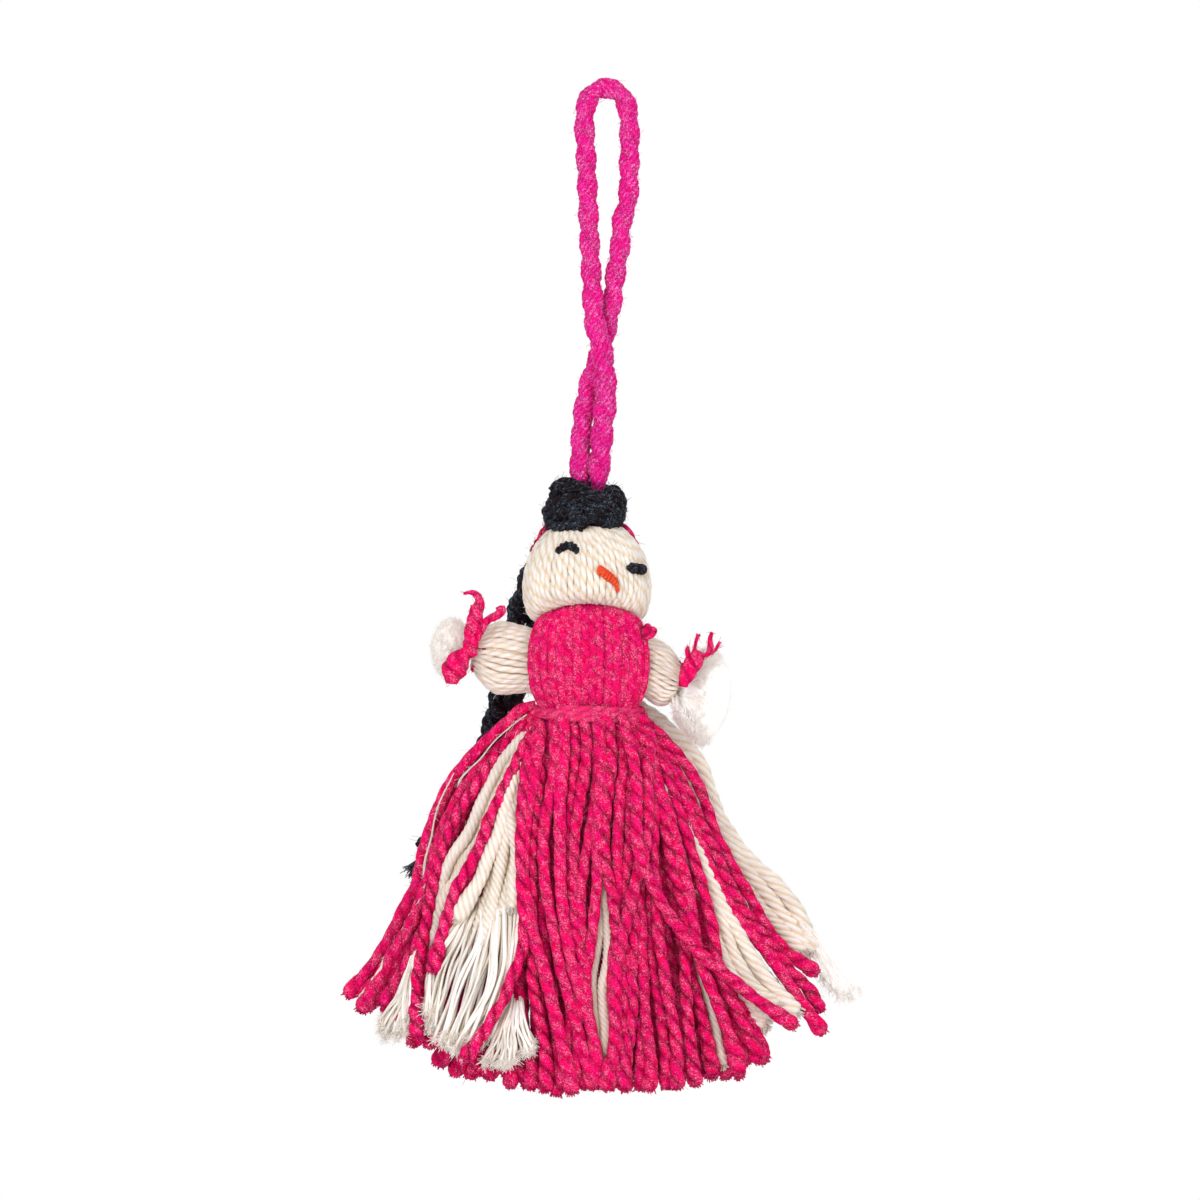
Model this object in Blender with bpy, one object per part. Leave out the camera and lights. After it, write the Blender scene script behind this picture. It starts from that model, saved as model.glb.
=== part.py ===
"""A yarn doll on a twisted hanging loop, made of tied hanks of yarn.

The doll faces -Y and hangs by its loop, whose inner top is the origin.
Left and right are as seen from the front, so left is -X.
"""

import math

import bmesh
import bpy
import numpy as np

# Shared sizes
GAP = 0.0003
YARN = 0.0024
THIN_YARN = 0.001
RIB_SHARE = 0.16
# A tube's rounded end: how far out its last ring stands, and that ring's size
CAP_SHARE = 0.87
CAP_RING_SHARE = 0.5
# How near to its poles an egg shape's first and last rings lie
POLE_SHARE = 0.06

# Hanging loop: a two-ply cord, folded into a loop and crossed once in its stem
CORD_WIDE = 0.0046
CORD_NARROW = 0.0036
CORD_TURN = 0.0124
LOOP_DROP = 0.084
LOOP_WIDTH = 0.0046
LOOP_RINGS = 92
CORD_SIDES = 8
# The cord's rounded ends: how far out each ring stands, and its size
CORD_CAP_SHARES = ((0.9, 0.42), (0.6, 0.78))
# Each point: sideways and depth in shares of LOOP_WIDTH, height in shares of LOOP_DROP
LOOP_ROUTE_SHARES = (
    (-0.13, 0, -1),
    (-0.1, -0.13, -0.96),
    (-0.04, -0.26, -0.917),
    (0, -0.35, -0.851),
    (0.09, -0.48, -0.77),
    (-0.09, -0.63, -0.663),
    (-0.46, -0.48, -0.576),
    (-0.57, -0.22, -0.487),
    (-0.67, 0, -0.393),
    (-0.76, 0, -0.275),
    (-0.87, 0, -0.131),
    (-0.91, 0, -0.05),
    (-0.72, 0, 0.006),
    (-0.3, 0, 0.026),
    (0.15, 0, 0.031),
    (0.65, 0, 0.022),
    (1.05, 0, -0.002),
    (1.22, 0, -0.04),
    (1.28, 0, -0.105),
    (1.24, 0, -0.183),
    (1.15, 0, -0.262),
    (0.85, 0, -0.321),
    (0.76, 0.09, -0.39),
    (0.57, 0.24, -0.448),
    (0.39, 0.41, -0.526),
    (0.2, 0.57, -0.581),
    (-0.2, 0.65, -0.663),
    (-0.63, 0.54, -0.731),
    (-0.94, 0.4, -0.801),
    (-1.13, 0.26, -0.886),
    (-1.19, 0.1, -0.96),
    (-1.2, 0, -1),
)

# Swings and bends, each to either side
CROWN_SWING = math.radians(30)

# Head
HEAD_SHIFT = 0.0038
HEAD_WIDTH = 0.0278
HEAD_DEPTH = 0.026
HEAD_HEIGHT = 0.0206
CROWN_TO_HEAD = 0.0102
HEAD_STRANDS = 24
# Each ring: share of the half width, depth below the top at the sides, then at front and back
HEAD_RING_SHARES = (
    (0.14, 0, 0),
    (0.46, 0.012, 0.012),
    (0.72, 0.1, 0.1),
    (0.85, 0.2, 0.2),
    (0.935, 0.32, 0.32),
    (0.985, 0.47, 0.46),
    (1, 0.63, 0.58),
    (0.985, 0.77, 0.66),
    (0.93, 0.9, 0.71),
    (0.83, 0.98, 0.745),
    (0.68, 1, 0.77),
    (0.5, 0.94, 0.8),
    (0.33, 0.82, 0.82),
)
NECK_RADIUS = 0.0046
NECK_DROP = 0.018

# Hair
BUN_WIDTH = 0.0096
BUN_DEPTH = 0.0156
BUN_HEIGHT = 0.0126
BUN_LOOPS = 7
CURL_WIDTH = 0.0084
CURL_HEIGHT = 0.0112
CURL_DEPTH = 0.0128
CURL_THICK = 0.0036
HAIR_THICK = 0.0022
HAIR_HALF_SHARES = (0.36, 0.26, 0.2)
HAIR_PLACE_SHARES = (-0.06, 0.3, -0.39)
BAND_THICK = 0.0017
BAND_DOWN_SHARE = 0.12
BAND_POINTS = 22
BAND_START = math.radians(-12)

# Braid: three strands plaited about a route that hangs behind the left side
BRAID_LENGTH = 0.0755
BRAID_STRAND = 0.0022
BRAID_WIDTH = 0.0028
BRAID_DEPTH = 0.0018
BRAID_CYCLES = 3.75
BRAID_RINGS = 35
BRAID_SIDES = 6
BRAID_TOP_DROP = 0.0142
# The braid's top, across and behind the head's middle
BRAID_PLACE_SHARES = (-0.27, 0.615)
BRAID_TUFT = 0.006
TUFT_THICK = 0.0044
BRAID_TUFT_SHARES = (0.75, 0.62, 0.6, 0.62, 0.8, 0.92, 0.95)
# Each point in shares of BRAID_LENGTH from the braid's top
BRAID_ROUTE_SHARES = (
    (0, 0, 0),
    (-0.035, -0.004, -0.066),
    (-0.068, -0.01, -0.152),
    (-0.1, -0.01, -0.258),
    (-0.124, 0.006, -0.39),
    (-0.15, 0.028, -0.51),
    (-0.19, 0.052, -0.63),
    (-0.242, 0.072, -0.738),
    (-0.3, 0.088, -0.83),
    (-0.362, 0.1, -0.905),
)

# Torso
TORSO_SHIFT = 0.0034
TORSO_WIDTH = 0.0294
TORSO_DEPTH = 0.021
TORSO_HEIGHT = 0.0234
HEAD_TO_TORSO = 0.0172
PANEL_THICK = 0.0024
PANEL_STRANDS = 11
PANEL_INNER_POINTS = 7
SIDE_OPENING = 0.0126
MAX_OPENING_SHARE = 0.9
# Each row from the bottom up: height, half width, half depth and squareness in shares
PANEL_ROW_SHARES = (
    (0, 0.712, 0.8, 0.67),
    (0.11, 0.712, 0.8, 0.67),
    (0.18, 0.87, 0.92, 0.8),
    (0.3, 0.96, 0.98, 0.93),
    (0.5, 1, 1, 1),
    (0.7, 0.985, 0.99, 1),
    (0.86, 0.93, 0.93, 1),
    (0.95, 0.87, 0.86, 1),
    (1, 0.8, 0.79, 1),
)
SHOULDER_DROP = 0.0044
SECTION_POWER = 3
CORE_CLEAR = 0.0038

# Waist
BELT_THICK = 0.00125
BELT_PITCH = 0.00172
BELT_TURNS = 2
LOOP_POINTS = 24
KNOT_SIZE = 0.0034
NECK_TURNS = 0.9
# The shoulder's knot: the way round the bodice, and how far out and forwards of its edge
KNOT_ANGLE = math.radians(38)
KNOT_PLACE_SHARES = (0.5, 0.2)

# Arms: root radius, swing centre, length and slope
ARM_DEPTH = 0.0098
LEFT_ROOT = 0.007
LEFT_REACH = 0.0109
LEFT_DROP = 0.0127
LEFT_LENGTH = 0.0146
LEFT_SWELL = 0.008
LEFT_SLOPE = math.radians(10)
RIGHT_ROOT = 0.0064
RIGHT_REACH = 0.0106
RIGHT_DROP = 0.0117
RIGHT_LENGTH = 0.0102
RIGHT_SWELL = 0.0066
RIGHT_SLOPE = math.radians(-28)
WRIST = 0.0031
WRIST_LENGTH = 0.003
ARM_STRANDS = 10
SEAT_SHARE = 1.2
ROOT_RINGS = 5
ROOT_START = math.radians(14)
# How far along an arm the swell is measured from its root and not from its wrist
ROOT_SHARE = 0.2
WRAP_THICK = 0.001
WRAP_PITCH = 0.00145
WRAP_TURNS = 2
# Share of the way from root to wrist, then how far the arm has swollen
ARM_SWELL_SHARES = ((0.12, 0.35), (0.3, 0.8), (0.5, 1), (0.7, 0.82), (0.86, 0.45))

# Hands: tufts of cut yarn
LEFT_HAND_LONG = 0.0136
LEFT_HAND_WIDE = 0.0092
LEFT_HAND_DEEP = 0.0086
RIGHT_HAND_LONG = 0.0214
RIGHT_HAND_WIDE = 0.0122
RIGHT_HAND_DEEP = 0.0098
RIGHT_HAND_OUT = 0.0055
RIGHT_HAND_DOWN = 0.0035
RIGHT_HAND_LEAN = math.radians(10)
TUFT_LOCKS = 9
TAIL_THICK = 0.0024
LEFT_TAIL_FRONT = 0.00705
RIGHT_TAIL_FRONT = 0.0074
TAIL_LENGTH = 0.0195
# Each point: across and up from the wrist in shares of TAIL_LENGTH, then its thickness share
LEFT_TAIL_SHARES = (
    (-0.27, -0.18, 1.5),
    (-0.24, -0.1, 1.9),
    (-0.17, 0, 1.15),
    (-0.08, 0.16, 1),
    (-0.02, 0.36, 0.95),
    (-0.02, 0.55, 0.9),
    (-0.08, 0.68, 0.8),
    (-0.18, 0.7, 0.5),
)
LEFT_SECOND_SHARES = (
    (-0.05, 0.2, 0.8),
    (0.04, 0.33, 0.9),
    (0.16, 0.46, 0.8),
    (0.26, 0.53, 0.6),
)
RIGHT_TAIL_SHARES = (
    (0.05, -0.07, 1.2),
    (0.1, 0.03, 1.8),
    (0.2, 0.2, 1.8),
    (0.28, 0.32, 1.5),
    (0.3, 0.42, 0.55),
    (0.31, 0.51, 0.5),
)
RIGHT_SECOND_SHARES = (
    (0.26, 0.28, 0.6),
    (0.36, 0.38, 0.5),
    (0.44, 0.5, 0.45),
)
RIGHT_THIRD_SHARES = (
    (0.24, 0.24, 0.6),
    (0.4, 0.3, 0.5),
    (0.5, 0.4, 0.45),
)

# Skirt
SKIRT_SHIFT = 0.0034
WAIST_WIDTH = 0.0186
WAIST_DEPTH = 0.0148
SKIRT_LEFT = 0.0534
SKIRT_RIGHT = 0.052
SKIRT_DEPTH = 0.0285
SKIRT_SIDE_DROP = 0.0612
SKIRT_FRONT_DROP = 0.083
# Down a lock: how far it has dropped, then how far out on the left, right, and front or back
SKIRT_FLARE_SHARES = (
    (0, 0, 0, 0),
    (0.04, 0, 0, 0),
    (0.1, 0.19, 0.13, 0.15),
    (0.22, 0.4, 0.27, 0.32),
    (0.38, 0.53, 0.41, 0.46),
    (0.54, 0.61, 0.55, 0.57),
    (0.85, 0.83, 0.84, 0.83),
    (1, 1, 1, 1),
    (1.2, 1.23, 1.2, 1.2),
)
# Outer locks in order round the waist from the right, by way of the front:
# name, strands, angle at the hem, length share, reach share
OUTER_LOCK_SHARES = (
    ("skirt_right_1", 3, 2, 1.04, 1),
    ("skirt_right_2", 3, 13, 1.08, 0.98),
    ("skirt_right_3", 2, 26, 0.98, 1),
    ("skirt_right_4", 2, 40, 1, 1),
    ("skirt_front_1", 2, 51, 1, 1),
    ("skirt_front_2", 2, 58.5, 0.99, 1),
    ("skirt_front_3", 2, 66, 1.01, 1),
    ("skirt_front_4", 2, 73.5, 0.995, 1),
    ("skirt_front_5", 2, 81, 0.985, 1),
    ("skirt_front_6", 2, 89.5, 1, 1),
    ("skirt_front_7", 2, 97, 0.99, 1),
    ("skirt_front_8", 2, 104.5, 1.015, 1),
    ("skirt_left_1", 1, 120, 0.96, 1),
    ("skirt_left_2", 1, 137, 0.94, 1),
    ("skirt_left_3", 2, 157, 1.02, 1),
    ("skirt_left_4", 2, 174, 0.98, 1.01),
    ("skirt_back_1", 4, 196, 1.02, 1),
    ("skirt_back_2", 4, 215, 1, 1),
    ("skirt_back_3", 4, 234, 0.99, 1),
    ("skirt_back_4", 4, 253, 1.01, 1),
    ("skirt_back_5", 4, 272, 1, 1),
    ("skirt_back_6", 4, 291, 0.99, 1),
    ("skirt_back_7", 4, 310, 1, 1),
    ("underskirt_back_1", 3, 330, 1.02, 1.1),
    ("underskirt_back_2", 2, 346, 1.05, 1.13),
)
INNER_LOCK_SHARES = (
    ("underskirt_right_1", 2, 32, 0.97, 0.98),
    ("underskirt_right_2", 2, 46, 0.96, 1),
    ("underskirt_front_1", 2, 85, 0.95, 1),
    ("underskirt_left_1", 3, 111, 0.965, 1),
    ("underskirt_left_2", 3, 126, 0.97, 1),
    ("underskirt_left_3", 2, 142, 0.99, 1),
    ("underskirt_left_4", 2, 160, 0.9, 0.97),
)
# A lock's cut end: how much wider it grows, and from where
FRAY_SHARE = 0.22
FRAY_START_SHARE = 0.85
# The last shaped row of a lock lies at least this far above its end
LAST_ROW_SHARE = 0.05
SPREAD_POWER = 0.7
# A step along the skirt's surface, from which its slope is measured
SLOPE_STEP_SHARE = 0.001
# First angle and span of each layer of locks where they leave the waist, in degrees
OUTER_SPREAD = (0, 360)
INNER_SPREAD = (10, 165)

# Face stitches: middle across and down the face in shares of the head, length, thickness and slope
LEFT_EYE_SHARES = (-0.1655, 0.267)
RIGHT_EYE_SHARES = (0.3885, 0.4175)
MOUTH_SHARES = (0.1583, 0.4757)
EYE_LENGTH = 0.0046
RIGHT_EYE_LENGTH = 0.0036
MOUTH_LENGTH = 0.0048
EYE_THICK = 0.0014
MOUTH_THICK = 0.0016
LEFT_EYE_SLOPE = math.radians(-8)
MOUTH_SLOPE = math.radians(-34)
EYE_ARCH = 0.0009

# Places worked out from the sizes above
CROWN_Z = -LOOP_DROP
HEAD_X = -HEAD_SHIFT
HEAD_TOP_Z = CROWN_Z - CROWN_TO_HEAD
NECK_Z = HEAD_TOP_Z - NECK_DROP
TORSO_X = -TORSO_SHIFT
TORSO_TOP_Z = HEAD_TOP_Z - HEAD_TO_TORSO
WAIST_Z = TORSO_TOP_Z - TORSO_HEIGHT
SKIRT_X = -SKIRT_SHIFT
TIP_RADIUS = CORD_WIDE / 2


def material(name, colour, roughness):
    """A matt yarn finish."""
    made = bpy.data.materials.new(name)
    made.use_nodes = True
    shader = made.node_tree.nodes["Principled BSDF"]
    shader.inputs["Base Color"].default_value = (*colour, 1)
    shader.inputs["Roughness"].default_value = roughness
    shader.inputs["Metallic"].default_value = 0
    made.diffuse_color = (*colour, 1)
    return made


def finish(name, shape, look):
    """Turns a closed bmesh into a named, smooth-shaded object."""
    bmesh.ops.triangulate(shape, faces=shape.faces, ngon_method="EAR_CLIP")
    bmesh.ops.recalc_face_normals(shape, faces=shape.faces)
    if shape.calc_volume(signed=True) < 0:
        bmesh.ops.reverse_faces(shape, faces=shape.faces)
    mesh = bpy.data.meshes.new(name)
    shape.to_mesh(mesh)
    shape.free()
    mesh.materials.append(look)
    mesh.shade_smooth()
    mesh.set_sharp_from_angle(angle=math.radians(50))
    made = bpy.data.objects.new(name, mesh)
    bpy.context.scene.collection.objects.link(made)
    return made


def skin(name, rings, look):
    """One closed body skinned over a row of rings with equal numbers of points."""
    shape = bmesh.new()
    rows = [[shape.verts.new(tuple(p)) for p in ring] for ring in rings]
    for low, high in zip(rows, rows[1:]):
        for i in range(len(low)):
            j = (i + 1) % len(low)
            shape.faces.new((low[i], low[j], high[j], high[i]))
    shape.faces.new(rows[0])
    shape.faces.new(rows[-1])
    return finish(name, shape, look)


def unit(vector):
    return vector / np.linalg.norm(vector)


def turn(count, start=0.0):
    """Angles spread evenly round a full turn."""
    return start + np.arange(count) * math.tau / count


def smooth_route(points, count):
    """Evenly spaced points along a smooth curve through a route's own points."""
    points = np.array(points, float)
    padded = np.vstack([2 * points[0] - points[1], points, 2 * points[-1] - points[-2]])
    fine = []
    for i in range(len(points) - 1):
        a, b, c, d = padded[i : i + 4]
        bend = 2 * a - 5 * b + 4 * c - d
        twist = 3 * b - a - 3 * c + d
        for t in np.linspace(0, 1, 12, endpoint=False):
            fine.append((2 * b + (c - a) * t + bend * t**2 + twist * t**3) / 2)
    fine.append(points[-1])
    fine = np.array(fine)
    along = np.concatenate([[0], np.cumsum(np.linalg.norm(np.diff(fine, axis=0), axis=1))])
    at = np.linspace(0, along[-1], count)
    return np.stack([np.interp(at, along, fine[:, k]) for k in range(3)], axis=1)


def frames(route, side):
    """At each point of a route: its direction, and two directions across it."""
    ways = np.gradient(route, axis=0)
    found = []
    for way in ways:
        way = unit(way)
        across = unit(np.cross(way, side))
        found.append((way, across, np.cross(across, way)))
    return found


def tube_rings(route, radii, sides, side):
    """Round rings along a route, each with its own radius, and rounded ends."""
    directions = frames(route, side)
    rings = []
    last = len(route) - 1
    steps = [(i, 0, 1) for i in range(len(route))]
    steps = [(0, -CAP_SHARE, CAP_RING_SHARE), *steps, (last, CAP_SHARE, CAP_RING_SHARE)]
    for i, along, share in steps:
        way, across, out = directions[i]
        middle = route[i] + way * radii[i] * along
        reach = radii[i] * share
        rings.append([middle + (across * math.cos(a) + out * math.sin(a)) * reach for a in turn(sides)])
    return rings


def tube(name, route, radii, sides, look, side=(0, 1, 0)):
    return skin(name, tube_rings(route, radii, sides, side), look)


def pebble_rings(middle, half_sizes, count, sides, ribs=0, rib_share=0.0, lean=0.0):
    """Rings of an egg shape stacked along Z, ribbed from top to bottom, and leant about Y."""
    rings = []
    for share in np.linspace(POLE_SHARE, 1 - POLE_SHARE, count):
        high, wide = -math.cos(share * math.pi), math.sin(share * math.pi)
        ring = []
        for a in turn(sides):
            swell = 1 + rib_share * math.cos(ribs * a) * wide
            x = half_sizes[0] * wide * math.cos(a) * swell
            y = half_sizes[1] * wide * math.sin(a) * swell
            z = half_sizes[2] * high
            ring.append(
                (
                    middle[0] + x * math.cos(lean) + z * math.sin(lean),
                    middle[1] + y,
                    middle[2] - x * math.sin(lean) + z * math.cos(lean),
                )
            )
        rings.append(ring)
    return rings


def cut(target, cutter):
    """Takes the cutter's shape out of the target."""
    cutter.hide_render = True
    cutter.display_type = "WIRE"
    modifier = target.modifiers.new("cut", "BOOLEAN")
    modifier.operation = "DIFFERENCE"
    modifier.use_self = True
    modifier.object = cutter


def join(target, other):
    """Adds the other shape to the target, to make one body."""
    other.hide_render = True
    other.display_type = "WIRE"
    modifier = target.modifiers.new("join", "BOOLEAN")
    modifier.operation = "UNION"
    modifier.use_self = True
    modifier.object = other


def pivot(name, place, pieces):
    """An empty on a joint's axis that carries the pieces which move about it."""
    made = bpy.data.objects.new(name, None)
    made.location = place
    bpy.context.scene.collection.objects.link(made)
    bpy.context.view_layer.update()
    for piece in pieces:
        piece.parent = made
        piece.matrix_parent_inverse = made.matrix_world.inverted()
    return made


def loop_route():
    scale = np.array((LOOP_WIDTH, LOOP_WIDTH, LOOP_DROP))
    return smooth_route(np.array(LOOP_ROUTE_SHARES) * scale, LOOP_RINGS)


def self_gap(route, thick, turn_length):
    """The least gap between stretches of a tube that lie over one turn apart along it."""
    step = np.linalg.norm(route[1] - route[0])
    apart = max(2, round(turn_length / step))
    least = math.inf
    for i in range(len(route) - apart):
        far = np.linalg.norm(route[i + apart :] - route[i], axis=1)
        least = min(least, far.min())
    return least - thick


def make_loop(look):
    """The hanging loop: a section of two plies that turns as it goes along the cord."""
    route = loop_route()
    directions = frames(route, (0, 1, 0))
    step = np.linalg.norm(route[1] - route[0])
    middle, swing = (CORD_WIDE + CORD_NARROW) / 4, (CORD_WIDE - CORD_NARROW) / 4
    rings = []
    last = len(route) - 1
    stations = [(0, -along, share) for along, share in CORD_CAP_SHARES]
    stations += [(i, 0, 1) for i in range(len(route))]
    stations += [(last, along, share) for along, share in reversed(CORD_CAP_SHARES)]
    for i, along, share in stations:
        way, across, out = directions[i]
        ply = math.tau * i * step / CORD_TURN
        centre = route[i] + way * along * TIP_RADIUS
        ring = []
        for a in turn(CORD_SIDES, ply):
            reach = (middle + swing * math.cos(2 * (a - ply))) * share
            ring.append(centre + (across * math.cos(a) + out * math.sin(a)) * reach)
        rings.append(ring)
    gap = self_gap(route, CORD_WIDE, 2 * CORD_WIDE)
    print(f"hanging loop: least gap to itself {gap * 1000:.2f} mm")
    return skin("hanging_loop", rings, look)


def head_rings(grow):
    """The head's rings, all grown by the same amount for a cutter."""
    rings = []
    for wide, side_down, front_down in HEAD_RING_SHARES:
        ring = []
        for i, a in enumerate(turn(2 * HEAD_STRANDS)):
            rib = 0 if grow or i % 2 == 0 else YARN * RIB_SHARE
            half_x = HEAD_WIDTH / 2 * wide + grow - rib
            half_y = HEAD_DEPTH / 2 * wide + grow - rib
            down = side_down + (front_down - side_down) * abs(math.sin(a))
            lift = grow * (1 - 2 * min(1, down))
            z = HEAD_TOP_Z - HEAD_HEIGHT * down + lift
            ring.append((HEAD_X + half_x * math.cos(a), half_y * math.sin(a), z))
        rings.append(ring)
    return rings


def make_head(look):
    """The head, ribbed by its strands, with a round neck under it."""
    head = skin("head", head_rings(0), look)
    neck_sizes = (NECK_RADIUS, NECK_RADIUS, NECK_RADIUS)
    neck = skin("neck_shape", pebble_rings((HEAD_X, 0, NECK_Z), neck_sizes, 8, 14), look)
    join(head, neck)
    return head


def crown_fan(look):
    """The space that the stem of the loop needs as it swings over the bun."""
    radius = TIP_RADIUS + GAP
    low = np.linspace(math.pi + CROWN_SWING, math.tau - CROWN_SWING, 9)
    outline = [(radius * math.cos(a), radius * math.sin(a)) for a in low]
    rise = BUN_HEIGHT
    spread = rise * math.tan(CROWN_SWING)
    (back_y, back_z), (front_y, front_z) = outline[-1], outline[0]
    outline += [(back_y + spread, back_z + rise), (front_y - spread, front_z + rise)]
    places = [x * LOOP_WIDTH for x, _, _ in (LOOP_ROUTE_SHARES[0], LOOP_ROUTE_SHARES[-1])]
    rings = []
    for x in (min(places) - radius, max(places) + radius):
        rings.append([(x, y, CROWN_Z + z) for y, z in outline])
    return skin("crown_fan", rings, look)


def make_bun(look, clear_of):
    """The loops of hair on the crown, with the curled end beside them."""
    low = HEAD_TOP_Z - HAIR_THICK / 2
    bun_x = HEAD_X - BUN_WIDTH / 2 - GAP
    bun_half = (BUN_WIDTH / 2, BUN_DEPTH / 2, BUN_HEIGHT / 2)
    bun_middle = (bun_x, 0, low + BUN_HEIGHT / 2)
    bun_rings = pebble_rings(bun_middle, bun_half, 8, 3 * BUN_LOOPS, BUN_LOOPS, RIB_SHARE)
    bun = skin("hair_bun", bun_rings, look)
    curl_x = HEAD_X + CURL_WIDTH / 2 + GAP
    curl = make_curl(look, (curl_x, 0, low + CURL_HEIGHT / 2))
    for piece in (bun, curl):
        for cutter in clear_of:
            cut(piece, cutter)
    return bun, curl


def make_curl(look, middle):
    """A ring of hair that faces the front."""
    shape = bmesh.new()
    rows = []
    for a in turn(14):
        row = []
        for b in turn(6):
            reach = math.cos(b) * CURL_THICK / 2
            x = (CURL_WIDTH / 2 - CURL_THICK / 2 + reach) * math.cos(a)
            z = (CURL_HEIGHT / 2 - CURL_THICK / 2 + reach) * math.sin(a)
            y = math.sin(b) * CURL_DEPTH / 2
            row.append(shape.verts.new((middle[0] + x, middle[1] + y, middle[2] + z)))
        rows.append(row)
    for i, row in enumerate(rows):
        other = rows[(i + 1) % len(rows)]
        for j in range(len(row)):
            k = (j + 1) % len(row)
            shape.faces.new((row[j], row[k], other[k], other[j]))
    return finish("bun_curl", shape, look)


def head_share(down):
    """The head's half width at a depth below its top, as a share, at front and back."""
    table = np.array(HEAD_RING_SHARES)[:7]
    return np.interp(down / HEAD_HEIGHT, table[:, 2], table[:, 0])


def on_head(across, down, lift):
    """A point above the head's surface, from its place across and down the face."""
    share = head_share(down)
    half = HEAD_WIDTH / 2 * share + lift
    inside = max(0, 1 - (across / half) ** 2)
    y = (HEAD_DEPTH / 2 * share + lift) * math.sqrt(inside)
    return (HEAD_X + across, -y, HEAD_TOP_Z - down)


def make_hair_back(look, cutter):
    """The hair combed down behind the head, from under the band to the braid."""
    half = np.array(HAIR_HALF_SHARES) * (HEAD_WIDTH, HEAD_DEPTH, HEAD_HEIGHT)
    offset = np.array(HAIR_PLACE_SHARES) * (HEAD_WIDTH, HEAD_DEPTH, HEAD_HEIGHT)
    middle = np.array((HEAD_X, 0, HEAD_TOP_Z)) + offset
    hair = skin("back_hair", pebble_rings(middle, half, 7, 18, 9, RIB_SHARE / 3), look)
    cut(hair, cutter)
    return hair


def make_band(look):
    """The pink yarn tied round behind the bun."""
    down = HEAD_HEIGHT * BAND_DOWN_SHARE
    half_x = HEAD_WIDTH / 2 * head_share(down) + BAND_THICK / 2 + GAP
    half_y = HEAD_DEPTH / 2 * head_share(down) + BAND_THICK / 2 + GAP
    half_y = max(half_y, BUN_DEPTH / 2 + BAND_THICK / 2 + GAP)
    route = [
        (HEAD_X + half_x * math.cos(a), half_y * math.sin(a), HEAD_TOP_Z - down)
        for a in np.linspace(BAND_START, math.pi - BAND_START, BAND_POINTS)
    ]
    return tube("headband", np.array(route), [BAND_THICK / 2] * BAND_POINTS, 6, look, (0, 0, 1))


def make_stitch(name, look, place_shares, length, thick, slope=0.0, arch=0.0):
    """One stitch on the face, following the head."""
    route = []
    for t in np.linspace(-1, 1, 7):
        across = place_shares[0] * HEAD_WIDTH + t * length / 2 * math.cos(slope)
        down = place_shares[1] * HEAD_HEIGHT - t * length / 2 * math.sin(slope) + arch * t * t
        route.append(on_head(across, down, thick / 2 + GAP))
    return tube(name, np.array(route), [thick / 2] * 7, 8, look, (0, 0, 1))


def make_face(black, red):
    """Two closed eyes and a mouth."""
    return [
        make_stitch(
            "eye_left", black, LEFT_EYE_SHARES, EYE_LENGTH, EYE_THICK, LEFT_EYE_SLOPE, EYE_ARCH
        ),
        make_stitch("eye_right", black, RIGHT_EYE_SHARES, RIGHT_EYE_LENGTH, EYE_THICK),
        make_stitch("mouth", red, MOUTH_SHARES, MOUTH_LENGTH, MOUTH_THICK, MOUTH_SLOPE),
    ]


def braid_top():
    across, behind = BRAID_PLACE_SHARES
    return np.array((HEAD_X + HEAD_WIDTH * across, HEAD_DEPTH * behind, CROWN_Z - BRAID_TOP_DROP))


def strand_path(route, directions, strand):
    """The route of one of the braid's three strands, over and under the others."""
    path = []
    for i, (_, across, out) in enumerate(directions):
        phase = math.tau * (i / (BRAID_RINGS - 1) * BRAID_CYCLES + strand / 3)
        sideways = across * BRAID_WIDTH * math.sin(phase)
        path.append(route[i] + sideways + out * BRAID_DEPTH * math.sin(2 * phase))
    return np.array(path)


def make_braid(look):
    """Three strands plaited about the braid's route, and the yarn that ties their ends."""
    route = smooth_route(braid_top() + np.array(BRAID_ROUTE_SHARES) * BRAID_LENGTH, BRAID_RINGS)
    directions = frames(route, (0, 1, 0))
    paths = [strand_path(route, directions, strand) for strand in range(3)]
    radii = [BRAID_STRAND / 2] * BRAID_RINGS
    pieces = [
        tube(f"braid_strand_{i + 1}", path, radii, BRAID_SIDES, look)
        for i, path in enumerate(paths)
    ]
    gap = min(
        np.linalg.norm(other[None] - path[:, None], axis=2).min()
        for path, other in zip(paths, paths[1:] + paths[:1])
    )
    print(f"braid: least gap between strands {(gap - BRAID_STRAND) * 1000:.2f} mm")
    pieces.append(make_braid_tuft(look, route, directions))
    return pieces


def make_braid_tuft(look, route, directions):
    """The bound end of the braid, with its cut ends beyond it."""
    way = directions[-1][0]
    room = (BRAID_STRAND + TUFT_THICK * BRAID_TUFT_SHARES[0]) * CAP_SHARE / 2
    start = route[-1] + way * (room + GAP)
    path = np.array([start + way * BRAID_TUFT * t for t in np.linspace(0, 1, 7)])
    radii = TUFT_THICK / 2 * np.array(BRAID_TUFT_SHARES)
    return tube("braid_end", path, radii, 8, look)


def section(angle, half_width, half_depth, square=1.0):
    """A point on a squared oval."""
    c, s = math.cos(angle), math.sin(angle)
    power = SECTION_POWER * square
    reach = (abs(c) ** power + abs(s) ** power) ** (-1 / power)
    return half_width * c * reach, half_depth * s * reach


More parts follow.
